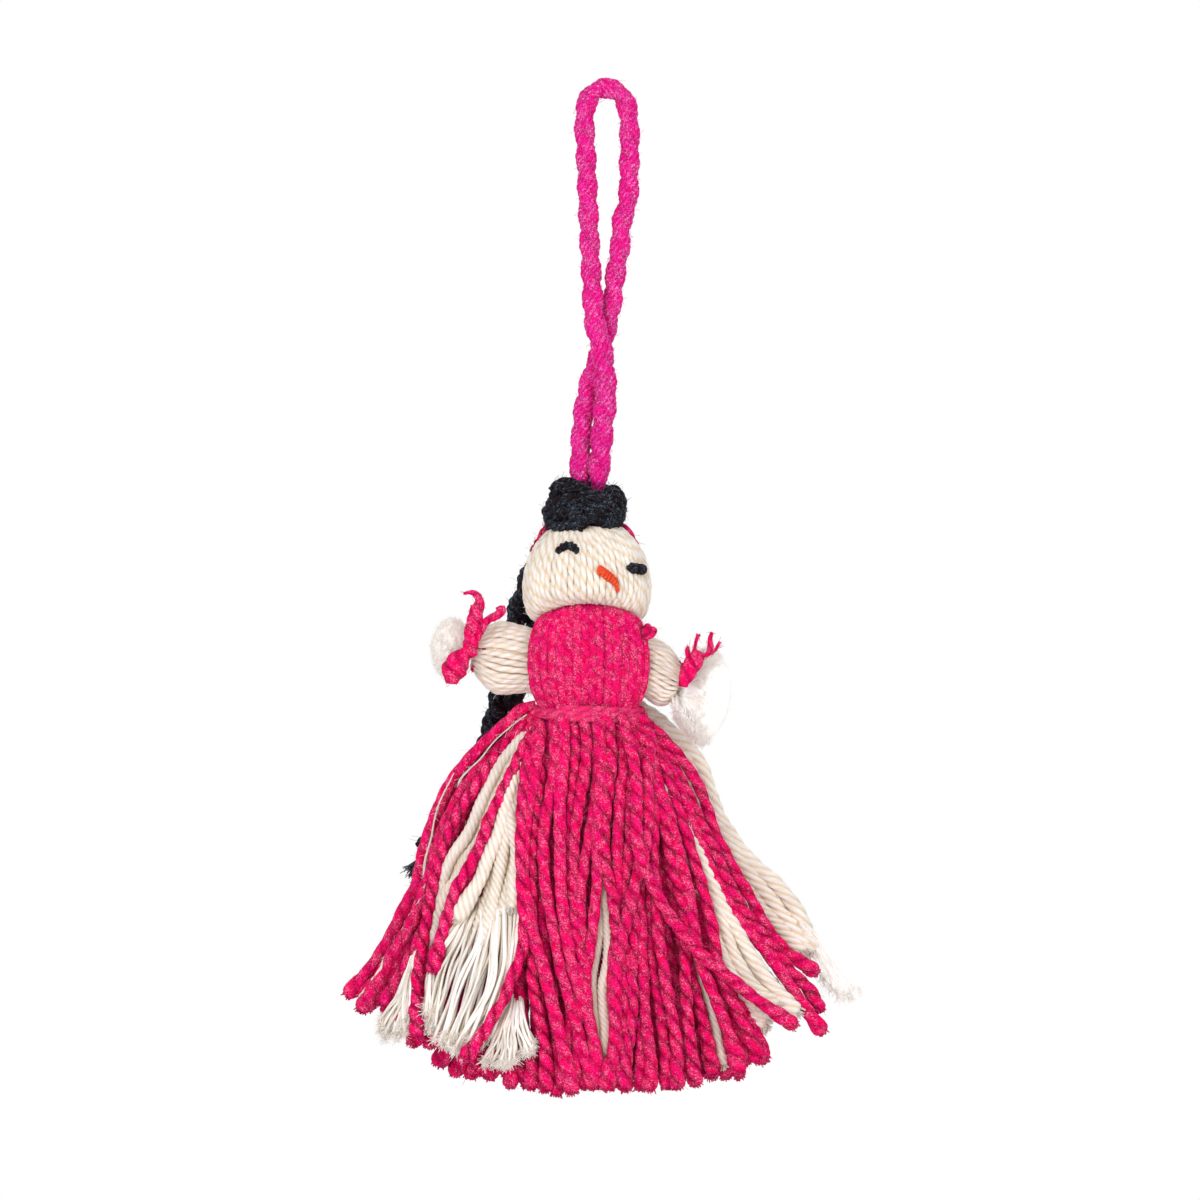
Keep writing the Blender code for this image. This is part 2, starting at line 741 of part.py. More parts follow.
def make_panel(name, look, front):
    """The front or back of the bodice: strands side by side, gathered at the waist."""
    side = -1 if front else 1
    edge = math.asin(min(MAX_OPENING_SHARE, SIDE_OPENING / TORSO_DEPTH))
    outer = np.linspace(edge, math.pi - edge, 2 * PANEL_STRANDS + 1)
    inner = np.linspace(math.pi - edge, edge, PANEL_INNER_POINTS)
    rings = []
    for high, wide, deep, square in PANEL_ROW_SHARES:
        half_width = TORSO_WIDTH / 2 * wide
        half_depth = TORSO_DEPTH / 2 * deep
        ring = []
        for i, a in enumerate(outer):
            rib = YARN * RIB_SHARE * (i % 2 == 0)
            ring.append((a, *section(a, half_width - rib, half_depth - rib, square)))
        half_width -= PANEL_THICK
        half_depth -= PANEL_THICK
        for a in inner:
            ring.append((a, *section(a, half_width, half_depth, square)))
        rings.append([panel_point(a, x, side * y, high) for a, x, y in ring])
    return skin(name, rings, look)


def panel_point(angle, x, y, high):
    """A panel's point, under a top edge that falls towards the shoulders."""
    fall = SHOULDER_DROP * math.cos(angle) ** 2
    height = TORSO_HEIGHT - fall - GAP
    return (TORSO_X + x, y, WAIST_Z + GAP + height * high)


def make_core(look):
    """The cream hank inside the bodice, between the roots of the arms and under the neck."""
    rings = []
    top = TORSO_HEIGHT - CORE_CLEAR
    for high, wide, deep, _ in PANEL_ROW_SHARES:
        half_width = TORSO_WIDTH / 2 * wide - PANEL_THICK - 2 * GAP
        half_depth = TORSO_DEPTH / 2 * deep - PANEL_THICK - 3 * GAP
        ring = []
        for a in turn(20):
            fall = SHOULDER_DROP * math.cos(a) ** 2
            z = WAIST_Z + GAP + (top - GAP - fall) * high
            ring.append((TORSO_X + half_width * math.cos(a), half_depth * math.sin(a), z))
        rings.append(ring)
    core = skin("torso_core", rings, look)
    room = NECK_RADIUS + GAP
    neck_rings = pebble_rings((HEAD_X, 0, NECK_Z), [room] * 3, 9, 20)
    cut(core, skin("neck_seat", neck_rings, look))
    for name, place, root, *_ in arm_plans():
        reach = root * SEAT_SHARE
        sizes = (reach, ARM_DEPTH / 2 + GAP, reach)
        cut(core, skin(f"{name}_seat", pebble_rings(place, sizes, 9, 22), look))
    return core


def arm_plans():
    """Each arm: name, swing centre, root radius, swell, length and slope."""
    left = (TORSO_X - LEFT_REACH, 0, TORSO_TOP_Z - LEFT_DROP)
    right = (TORSO_X + RIGHT_REACH, 0, TORSO_TOP_Z - RIGHT_DROP)
    return (
        ("arm_left", left, LEFT_ROOT, LEFT_SWELL, LEFT_LENGTH, math.pi - LEFT_SLOPE),
        ("arm_right", right, RIGHT_ROOT, RIGHT_SWELL, RIGHT_LENGTH, RIGHT_SLOPE),
    )


def arm_profile(root, swell, length):
    """Along an arm from its round root: place, half height and half depth."""
    profile = []
    for a in np.linspace(ROOT_START, math.pi / 2, ROOT_RINGS):
        profile.append((-root * math.cos(a), root * math.sin(a), ARM_DEPTH / 2 * math.sin(a)))
    straight = length - WRIST_LENGTH
    for share, full in ARM_SWELL_SHARES:
        start = root if share < ROOT_SHARE else WRIST
        high = start + (swell - start) * full
        deep = WRIST + (ARM_DEPTH / 2 - WRIST) * max(full, 1 - share)
        profile.append((straight * share, high, deep))
    profile += [(straight, WRIST, WRIST), (length, WRIST, WRIST)]
    return profile


def make_arm(plan, look):
    """A bundle of strands that starts as a round root and is bound at the wrist."""
    name, place, root, swell, length, slope = plan
    way = np.array((math.cos(slope), 0, math.sin(slope)))
    up = np.array((-way[2], 0, way[0]))
    rings = []
    for along, high, deep in arm_profile(root, swell, length):
        rib = YARN * RIB_SHARE * min(1, max(0, along / root))
        ring = []
        for i, a in enumerate(turn(2 * ARM_STRANDS)):
            less = rib * (i % 2)
            ring.append(
                np.array(place)
                + way * along
                + up * (high - less) * math.cos(a)
                + np.array((0, deep - less, 0)) * math.sin(a)
            )
        rings.append(ring)
    return skin(name, rings, look)


def winding(name, middle, way, up, radius, thick, pitch, turns, look, loop_points, oval=1.0):
    """A tube wound round an axis, whose ends run straight out, square to the windings."""
    side = np.cross(way, up)
    count = round(turns * loop_points)
    route = []
    for i in range(count + 1):
        a = math.tau * i / loop_points
        along = (i / count - 0.5) * turns * pitch
        route.append(
            middle + way * along + (up * math.cos(a) * oval + side * math.sin(a)) * radius
        )
    route = np.array([route[0] + up * thick, *route, route[-1] + up * thick])
    far = np.linalg.norm(route[None] - route[:, None], axis=2)
    apart = np.abs(np.subtract.outer(np.arange(len(route)), np.arange(len(route))))
    gap = far[apart >= loop_points // 2].min() - thick
    print(f"{name}: least gap to itself {gap * 1000:.2f} mm")
    return tube(name, route, [thick / 2] * len(route), 6, look, tuple(way))


def make_wrap(plan, look):
    """The yarn wound round a wrist."""
    name, place, _, _, length, slope = plan
    way = np.array((math.cos(slope), 0, math.sin(slope)))
    middle = np.array(place) + way * (length - WRIST_LENGTH / 2)
    radius = WRIST + GAP + WRAP_THICK / 2
    return winding(
        name.replace("arm", "wrist_wrap"),
        middle,
        way,
        np.array((0, -1, 0)),
        radius,
        WRAP_THICK,
        WRAP_PITCH,
        WRAP_TURNS,
        look,
        LOOP_POINTS,
    )


def arm_way(plan):
    return np.array((math.cos(plan[5]), 0, math.sin(plan[5])))


def make_hand(plan, look, long, wide, deep, offset, lean):
    """The cut ends of an arm's strands, a tuft that hugs the wrist."""
    end = np.array(plan[1]) + arm_way(plan) * plan[4]
    half = (wide / 2, deep / 2, long / 2)
    rings = pebble_rings(end + offset, half, 8, 2 * TUFT_LOCKS, TUFT_LOCKS, RIB_SHARE / 2, lean)
    hand = skin(plan[0].replace("arm", "hand"), rings, look)
    start = end - arm_way(plan) * (WRIST_LENGTH + wide)
    room = WRIST + WRAP_THICK + 2 * GAP
    route = np.array([start, (start + end) / 2, end + arm_way(plan) * GAP])
    cut(hand, tube(f"{plan[0]}_room", route, [room] * 3, 14, look))
    return hand


def make_tail(name, look, plan, tables, front):
    """The knot of a wrist's yarn with its loose tails, in front of the hand."""
    wrist = np.array(plan[1]) + arm_way(plan) * (plan[4] - WRIST_LENGTH / 2)
    made = []
    for number, table in enumerate(tables):
        points = []
        for x, z, _ in table:
            points.append((wrist[0] + x * TAIL_LENGTH, -front, wrist[2] + z * TAIL_LENGTH))
        count = 2 * len(table)
        route = smooth_route(points, count)
        at = np.linspace(0, 1, count)
        widths = np.interp(at, np.linspace(0, 1, len(table)), [w for _, _, w in table])
        made.append(tube(f"{name}_{number}", route, widths * TAIL_THICK / 2, 6, look))
    for other in made[1:]:
        join(made[0], other)
    made[0].name = name
    return made[0]


def make_knot(name, look, middle, size):
    """A small round knot."""
    return skin(name, pebble_rings(middle, [size / 2] * 3, 6, 9, 3, RIB_SHARE / 2), look)


def make_belt(look):
    """The yarn wound round the waist, and its knot behind."""
    out = YARN / 2 + GAP + BELT_THICK / 2
    half_width, half_depth = WAIST_WIDTH / 2 + out, WAIST_DEPTH / 2 + out
    belt = winding(
        "waist_belt",
        np.array((SKIRT_X, 0, WAIST_Z)),
        np.array((0, 0, 1)),
        np.array((0, 1, 0)),
        half_width,
        BELT_THICK,
        BELT_PITCH,
        BELT_TURNS,
        look,
        LOOP_POINTS,
        half_depth / half_width,
    )
    back = half_depth + BELT_THICK * 1.5 + GAP + KNOT_SIZE / 2
    return belt, make_knot("belt_knot", look, (SKIRT_X, back, WAIST_Z), KNOT_SIZE)


def make_shoulder_knot(look):
    """The knotted end of the neck's yarn, which shows beside the right shoulder."""
    down = SHOULDER_DROP + YARN
    x, y = section(KNOT_ANGLE, TORSO_WIDTH / 2, TORSO_DEPTH / 2)
    reach = KNOT_SIZE / 2 + GAP
    out, forwards = KNOT_PLACE_SHARES
    middle = (TORSO_X + x + reach * out, -y - reach * forwards, TORSO_TOP_Z - down)
    return make_knot("shoulder_knot", look, middle, KNOT_SIZE)


def make_neck_tie(look):
    """The yarn that ties the neck, on top of the hank inside the bodice."""
    top = WAIST_Z + TORSO_HEIGHT - CORE_CLEAR
    middle = np.array((HEAD_X, 0, top + GAP + THIN_YARN / 2 + THIN_YARN / 4))
    radius = NECK_RADIUS + THIN_YARN / 2 + GAP
    return winding(
        "neck_tie",
        middle,
        np.array((0, 0, 1)),
        np.array((1, 0, 0)),
        radius,
        THIN_YARN,
        THIN_YARN / 2,
        NECK_TURNS,
        look,
        LOOP_POINTS,
    )


def skirt_point(angle, t, reach=1.0):
    """A point on the skirt's smooth surface, from the angle round it and the way down it."""
    table = np.array(SKIRT_FLARE_SHARES)
    c, s = math.cos(angle), math.sin(angle)
    left, right, front = (np.interp(t, table[:, 0], table[:, k]) for k in (1, 2, 3))
    out = (left if c < 0 else right) * c * c + front * s * s
    side = SKIRT_LEFT if c < 0 else SKIRT_RIGHT
    half_width = WAIST_WIDTH / 2 + (side - WAIST_WIDTH / 2) * out * reach
    half_depth = WAIST_DEPTH / 2 + (SKIRT_DEPTH - WAIST_DEPTH / 2) * out * reach
    drop = SKIRT_SIDE_DROP + (SKIRT_FRONT_DROP - SKIRT_SIDE_DROP) * abs(s)
    return np.array((SKIRT_X + half_width * c, -half_depth * s, WAIST_Z - GAP - drop * t))


def skirt_frame(angle, t, reach):
    """The surface point, the length of one radian round it, and its outward normal."""
    step = SLOPE_STEP_SHARE
    around = skirt_point(angle + step, t, reach) - skirt_point(angle - step, t, reach)
    down = skirt_point(angle, t + step, reach) - skirt_point(angle, max(0, t - step), reach)
    radian = np.linalg.norm(around) / (2 * step)
    return skirt_point(angle, t, reach), radian, unit(np.cross(around, down))


def lock_outline(strands):
    """Points round a row of strands side by side, across and through, each from -1 to 1."""
    if strands == 1:
        return [(math.cos(a), math.sin(a)) for a in turn(6)]
    top = []
    for i in range(strands):
        top.append((-1 + (2 * i + 1) / strands, 1))
        if i + 1 < strands:
            top.append((-1 + 2 * (i + 1) / strands, 1 - 3 * RIB_SHARE))
    return [(-1, 0), *top, (1, 0), *[(u, -v) for u, v in reversed(top)]]


def lock_angles(rows, spread, t):
    """Every lock's angle, part of the way from its place at the waist to its place at the hem."""
    strands = np.array([row[1] for row in rows])
    waist = spread[0] + (np.cumsum(strands) - strands / 2) * spread[1] / strands.sum()
    ease = min(1, 2 * t) ** SPREAD_POWER
    return np.radians(waist * (1 - ease) + np.array([row[2] for row in rows]) * ease)


def side_room(rows, spread, n, t):
    """The least of a lock's shares, by their strands, of the angles to its neighbours."""
    angles = lock_angles(rows, spread, t)
    found = [math.pi / 4]
    for other in (n - 1, n + 1):
        if spread[1] == 360 or 0 <= other < len(rows):
            other %= len(rows)
            away = abs(angles[other] - angles[n])
            share = rows[n][1] / (rows[n][1] + rows[other][1])
            found.append(min(away, math.tau - away) * share)
    return min(found)


def lock_ring(rows, spread, n, t, depth):
    """One section of a lock, as wide as its strands or as its neighbours leave room for."""
    _, strands, _, length, reach = rows[n]
    angle = lock_angles(rows, spread, t)[n]
    _, arc, _ = skirt_frame(angle, t, reach)
    room = side_room(rows, spread, n, t) - GAP / (arc - depth - YARN / 2)
    frayed = max(0, t / length - FRAY_START_SHARE) / (1 - FRAY_START_SHARE)
    flare = 1 + FRAY_SHARE * frayed
    half = min(strands * YARN / 2 * flare / arc, room)
    ring = []
    for u, v in lock_outline(strands):
        point, _, out = skirt_frame(angle + u * half, t, reach)
        ring.append(point + out * (v * YARN / 2 - depth))
    return ring


def make_layer(rows, spread, depth, looks):
    """One layer of the skirt's locks, each kept inside its own share of the way round."""
    made = []
    for n, (name, _, _, length, _) in enumerate(rows):
        stations = [row[0] for row in SKIRT_FLARE_SHARES if row[0] < length - LAST_ROW_SHARE]
        rings = [lock_ring(rows, spread, n, t, depth) for t in (*stations, length)]
        made.append(skin(name, rings, looks[name.startswith("underskirt")]))
    return made


def main():
    for old in list(bpy.data.objects):
        bpy.data.objects.remove(old, do_unlink=True)
    pink = material("pink_yarn", (0.76, 0.02, 0.11), 0.85)
    magenta = material("magenta_cord", (0.83, 0.01, 0.18), 0.85)
    cream = material("cream_yarn", (0.9, 0.82, 0.68), 0.9)
    black = material("black_yarn", (0.008, 0.008, 0.01), 0.8)
    red = material("red_thread", (0.83, 0.05, 0.01), 0.8)

    make_loop(magenta)
    head = make_head(cream)
    head_room = skin("head_room", head_rings(GAP + RIB_SHARE * YARN / 2), cream)
    bun, curl = make_bun(black, [head_room, crown_fan(black)])
    hair = make_hair_back(black, head_room)
    band = make_band(magenta)
    face = make_face(black, red)
    braid = make_braid(black)

    front = make_panel("bodice_front", pink, True)
    back = make_panel("bodice_back", pink, False)
    core = make_core(cream)
    belt, belt_knot = make_belt(pink)
    neck_tie = make_neck_tie(pink)
    shoulder_knot = make_shoulder_knot(pink)
    skirt = make_layer(OUTER_LOCK_SHARES, OUTER_SPREAD, 0, (pink, cream))
    skirt += make_layer(INNER_LOCK_SHARES, INNER_SPREAD, YARN + GAP, (pink, cream))

    left, right = arm_plans()
    left_way = arm_way(left) * LEFT_HAND_WIDE / 2
    right_way = np.array((RIGHT_HAND_OUT, 0, -RIGHT_HAND_DOWN))
    left_arm = [
        make_arm(left, cream),
        make_wrap(left, magenta),
        make_hand(left, cream, LEFT_HAND_LONG, LEFT_HAND_WIDE, LEFT_HAND_DEEP, left_way, 0),
        make_tail(
            "wrist_knot_left",
            magenta,
            left,
            (LEFT_TAIL_SHARES, LEFT_SECOND_SHARES),
            LEFT_TAIL_FRONT,
        ),
    ]
    right_arm = [
        make_arm(right, cream),
        make_wrap(right, magenta),
        make_hand(
            right,
            cream,
            RIGHT_HAND_LONG,
            RIGHT_HAND_WIDE,
            RIGHT_HAND_DEEP,
            right_way,
            RIGHT_HAND_LEAN,
        ),
        make_tail(
            "wrist_knot_right",
            magenta,
            right,
            (RIGHT_TAIL_SHARES, RIGHT_SECOND_SHARES, RIGHT_THIRD_SHARES),
            RIGHT_TAIL_FRONT,
        ),
    ]
    pivot("crown_pivot", (HEAD_X, 0, CROWN_Z), [head, bun, curl, hair, band, *face])
    pivot("braid_pivot", tuple(braid_top()), braid)
    torso = [front, back, core, belt, belt_knot, neck_tie, shoulder_knot, *skirt]
    pivot("neck_pivot", (HEAD_X, 0, NECK_Z), torso)
    pivot("left_shoulder_pivot", left[1], left_arm)
    pivot("right_shoulder_pivot", right[1], right_arm)


main()
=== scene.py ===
"""The looks of a yarn doll on a twisted hanging loop.

The doll faces -Y. Left and right are as seen from the front. Sizes are in metres.
Tables in pixels hold the middle lines of strands as the front view shows them.
"""

import math

import bpy
import numpy as np
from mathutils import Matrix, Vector


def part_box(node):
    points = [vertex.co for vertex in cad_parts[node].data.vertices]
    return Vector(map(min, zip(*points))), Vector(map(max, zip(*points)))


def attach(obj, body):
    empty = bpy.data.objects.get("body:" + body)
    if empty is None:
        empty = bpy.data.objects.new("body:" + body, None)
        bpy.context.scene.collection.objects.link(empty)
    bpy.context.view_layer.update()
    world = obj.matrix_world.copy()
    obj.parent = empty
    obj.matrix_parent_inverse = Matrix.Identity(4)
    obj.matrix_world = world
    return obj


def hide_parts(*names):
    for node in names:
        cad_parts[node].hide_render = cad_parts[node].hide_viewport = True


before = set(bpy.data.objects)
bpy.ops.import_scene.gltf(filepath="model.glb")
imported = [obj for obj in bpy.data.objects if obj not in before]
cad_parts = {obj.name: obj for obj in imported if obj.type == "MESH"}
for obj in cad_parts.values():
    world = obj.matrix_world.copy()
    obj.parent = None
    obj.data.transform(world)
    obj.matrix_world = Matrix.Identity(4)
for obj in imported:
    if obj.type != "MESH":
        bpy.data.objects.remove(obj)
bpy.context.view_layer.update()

chance = np.random.default_rng(11)
TAU = math.tau

# The camera: a long lens straight in front of the doll
LENS = 0.25
FILM = 0.036
PIXELS = 1200
CENTRE = PIXELS / 2
PIXEL = 0.00022
MIDDLE_X, MIDDLE_Z = -0.00088, -0.11
AWAY = PIXEL * PIXELS * LENS / FILM

WHITE = (1, 1, 1, 1)
AMBIENT = 0.7
# Each lamp: its name, place, size and power
LAMPS = (
    ("key", (-0.6, -1.35, 0.55), 0.7, 10.2),
    ("fill", (0.9, -1.15, 0.05), 0.9, 5.5),
    ("low", (-0.1, -1.3, -0.7), 0.9, 6.5),
    ("rim", (0.2, 1.1, 0.7), 0.8, 6.0),
)
LAMPS_AIM = Vector((0, 0, -0.12))
FLOOR_Z, FLOOR_RADIUS = -0.285, 0.36

# Each yarn: two neighbouring shades, the painted shade of its grooves and hollows, and two shades of flecks
# that are partly painted highlights
COLOURS = {
    "magenta_cord": (
        (0.86, 0, 0.19), (0.72, 0.002, 0.26), (0.32, 0, 0.055), (1, 0.32, 0.66), (0.82, 0.08, 0.62),
    ),
    "pink_yarn": ((0.87, 0, 0.055), (0.76, 0, 0.12), (0.19, 0, 0.012), (1, 0.21, 0.4), (0.87, 0.03, 0.38)),
    "cream_yarn": (
        (0.94, 0.9, 0.87), (0.93, 0.88, 0.84), (0.8, 0.59, 0.36), (0.97, 0.95, 0.93), (0.9, 0.83, 0.72),
    ),
    "black_yarn": (
        (0.003, 0.003, 0.003), (0.006, 0.003, 0.005), (0, 0, 0), (0.2, 0.25, 0.33), (0.1, 0.06, 0.08),
    ),
    "red_thread": (
        (0.87, 0.05, 0.012), (0.85, 0.07, 0.02), (0.35, 0.04, 0.01), (1, 0.36, 0.2), (1, 0.2, 0.1),
    ),
}

# Sizes that the solids have too
GAP = 0.0003
YARN = 0.0024
CORD_WIDE = 0.0046
CORD_TURN = 0.0124
LOOP_DROP = 0.084
LOOP_WIDTH = 0.0046
CROWN_Z = -0.084
HEAD_X = -0.0038
HEAD_WIDTH, HEAD_DEPTH, HEAD_HEIGHT = 0.0278, 0.026, 0.0206
HEAD_TOP_Z = -0.0942
TORSO_X = -0.0034
TORSO_WIDTH, TORSO_DEPTH, TORSO_HEIGHT = 0.0294, 0.021, 0.0234
WAIST_Z = -0.1348
SHOULDER_DROP = 0.0044
SIDE_OPENING = 0.0126
SKIRT_X = -0.0034
WAIST_WIDTH, WAIST_DEPTH = 0.0186, 0.0148
SKIRT_LEFT, SKIRT_RIGHT, SKIRT_DEPTH = 0.0534, 0.052, 0.0285
SKIRT_SIDE_DROP, SKIRT_FRONT_DROP = 0.0612, 0.083
BRAID_TOP = np.array((-0.011306, 0.01599, -0.0982))
BRAID_LENGTH = 0.0755
BRAID_CYCLES = 3.75

# Half thicknesses of yarns that are the same all along
HAIR, BRAID_STRAND, BAND_YARN = 0.00115, 0.00178, 0.00092
PANEL_STRAND, BELT_YARN, NECK_YARN, WRAP_YARN = 0.00122, 0.0009, 0.0005, 0.00066
BELT_TURNS, WRAP_TURNS = 2.6, 2.5
NECK_REACH, NECK_TIE_Z = 0.0054, -0.1147
HEAD_STRANDS, PANEL_STRANDS, CORE_STRANDS, ARM_STRANDS = 30, 16, 36, 30
# Spacing of points along most yarns, and the thickness and tones of loose fibres
STEP = 0.0004
FINE = 0.00006
HAIR_TONES, LONG_HAIR_TONES = (0.7, 1.7), (0.9, 2.0)

# The cord's middle line in shares of its width, width and drop

LOOP_ROUTE_SHARES = (
    (-0.3, 0, -1.022), (-0.27, -0.02, -1), (-0.24, -0.13, -0.96), (-0.15, -0.26, -0.917),
    (-0.05, -0.35, -0.851), (0.09, -0.48, -0.77), (-0.09, -0.63, -0.663), (-0.46, -0.48, -0.576),
    (-0.57, -0.22, -0.487), (-0.67, 0, -0.393), (-0.76, 0, -0.275), (-0.87, 0, -0.131), (-0.94, 0, -0.05),
    (-0.72, 0, 0.006), (-0.3, 0, 0.026), (0.15, 0, 0.031), (0.65, 0, 0.022), (1.0, 0, -0.002),
    (1.17, 0, -0.04), (1.23, 0, -0.105), (1.2, 0, -0.183), (1.15, 0, -0.262), (0.85, 0, -0.321),
    (0.76, 0.09, -0.39), (0.57, 0.24, -0.448), (0.39, 0.41, -0.526), (0.2, 0.57, -0.581),
    (-0.2, 0.65, -0.663), (-0.63, 0.54, -0.731), (-0.92, 0.4, -0.801), (-1.07, 0.26, -0.886),
    (-1.12, 0.1, -0.96), (-1.13, 0, -1),
)
# Share of the half width, depth below the top at the sides, then at front and back
HEAD_RING_SHARES = (
    (0.58, 0.03, 0.025), (0.73, 0.13, 0.13), (0.855, 0.245, 0.245), (0.93, 0.36, 0.36), (0.98, 0.5, 0.48),
    (1, 0.65, 0.59), (0.985, 0.77, 0.66), (0.93, 0.9, 0.71), (0.83, 0.98, 0.745), (0.68, 1, 0.77),
    (0.5, 0.94, 0.8), (0.33, 0.82, 0.82),
)
BRAID_ROUTE_SHARES = (
    (0, 0, 0), (-0.035, -0.004, -0.066), (-0.068, -0.01, -0.152), (-0.1, -0.01, -0.258),
    (-0.124, 0.006, -0.39), (-0.15, 0.028, -0.51), (-0.19, 0.052, -0.63), (-0.242, 0.072, -0.738),
    (-0.3, 0.088, -0.83), (-0.362, 0.1, -0.905),
)
# Height, half width, half depth and squareness in shares, from the waist up and over
PANEL_ROW_SHARES = (
    (-0.06, 0.73, 0.8, 0.67), (0.02, 0.8, 0.84, 0.72), (0.08, 0.87, 0.9, 0.8), (0.17, 0.93, 0.95, 0.88),
    (0.3, 0.975, 0.98, 0.94), (0.5, 1, 1, 1), (0.7, 0.985, 0.99, 1), (0.86, 0.93, 0.93, 1),
    (0.95, 0.87, 0.86, 1), (1, 0.78, 0.76, 1), (1.0, 0.62, 0.58, 1), (0.95, 0.5, 0.46, 1),
)
SKIRT_FLARE_SHARES = np.array((
    (0, 0, 0, 0), (0.04, 0, 0, 0), (0.1, 0.19, 0.13, 0.15), (0.22, 0.4, 0.27, 0.32),
    (0.38, 0.53, 0.41, 0.46), (0.54, 0.61, 0.55, 0.57), (0.85, 0.83, 0.84, 0.83), (1, 1, 1, 1),
    (1.2, 1.23, 1.2, 1.2),
))
# Outer locks round the waist: name, strands, angle at the hem, length share, reach share
OUTER_LOCK_SHARES = (
    ("skirt_right_1", 3, 2, 1.04, 1), ("skirt_right_2", 3, 13, 1.08, 0.98),
    ("skirt_right_3", 2, 26, 0.98, 1), ("skirt_right_4", 2, 40, 1, 1), ("skirt_front_1", 2, 51, 1, 1),
    ("skirt_front_2", 2, 58.5, 0.99, 1), ("skirt_front_3", 2, 66, 1.01, 1),
    ("skirt_front_4", 2, 73.5, 0.995, 1), ("skirt_front_5", 2, 81, 0.985, 1),
    ("skirt_front_6", 2, 89.5, 1, 1), ("skirt_front_7", 2, 97, 0.99, 1),
    ("skirt_front_8", 2, 104.5, 1.015, 1), ("skirt_left_1", 1, 120, 0.96, 1),
    ("skirt_left_2", 1, 137, 0.94, 1), ("skirt_left_3", 2, 157, 1.02, 1),
    ("skirt_left_4", 2, 174, 0.98, 1.01), ("skirt_back_1", 4, 196, 0.93, 1),
    ("skirt_back_2", 4, 215, 0.96, 1), ("skirt_back_3", 4, 234, 0.99, 1),
    ("skirt_back_4", 4, 253, 1.01, 1), ("skirt_back_5", 4, 272, 1, 1), ("skirt_back_6", 4, 291, 0.99, 1),
    ("skirt_back_7", 4, 310, 1, 1), ("underskirt_back_1", 3, 330, 1.02, 1.1),
    ("underskirt_back_2", 2, 346, 1.05, 1.13),
)


class Look:
    """The shader nodes of a material or of the world."""

    def __init__(self, made):
        self.made = made
        self.made.use_nodes = True
        self.tree = self.made.node_tree
        self.shader = self.tree.nodes.get("Principled BSDF")

    def add(self, kind, values=(), **settings):
        node = self.tree.nodes.new(kind)
        for key, value in settings.items():
            setattr(node, key, value)
        for key, value in dict(values).items():
            self.put(node.inputs[key], value)
        return node

    def put(self, socket, value):
        if isinstance(value, bpy.types.NodeSocket):
            self.tree.links.new(value, socket)
        else:
            socket.default_value = value

    def math(self, operation, a, b=0.0):
        return self.add("ShaderNodeMath", {0: a, 1: b}, operation=operation).outputs[0]

    def ramp(self, value, low, high, out_low=0.0, out_high=1.0):
        """Follows a value from low to high, and stays within its own ends."""
        values = {0: value, 1: low, 2: high, 3: out_low, 4: out_high}
        return self.add("ShaderNodeMapRange", values, clamp=True).outputs[0]

    def mix(self, share, a, b, way="MIX"):
        node = self.add("ShaderNodeMix", data_type="RGBA", blend_type=way)
        self.put(node.inputs[0], share)
        self.put(node.inputs[6], a)
        self.put(node.inputs[7], b)
        return node.outputs[2]

    def noise(self, place, scale, detail=2.0, rough=0.55):
        values = {"Vector": place, "Scale": scale, "Detail": detail, "Roughness": rough}
        return self.add("ShaderNodeTexNoise", values).outputs[0]

    def attribute(self, name):
        return self.add("ShaderNodeAttribute", attribute_name=name).outputs["Fac"]


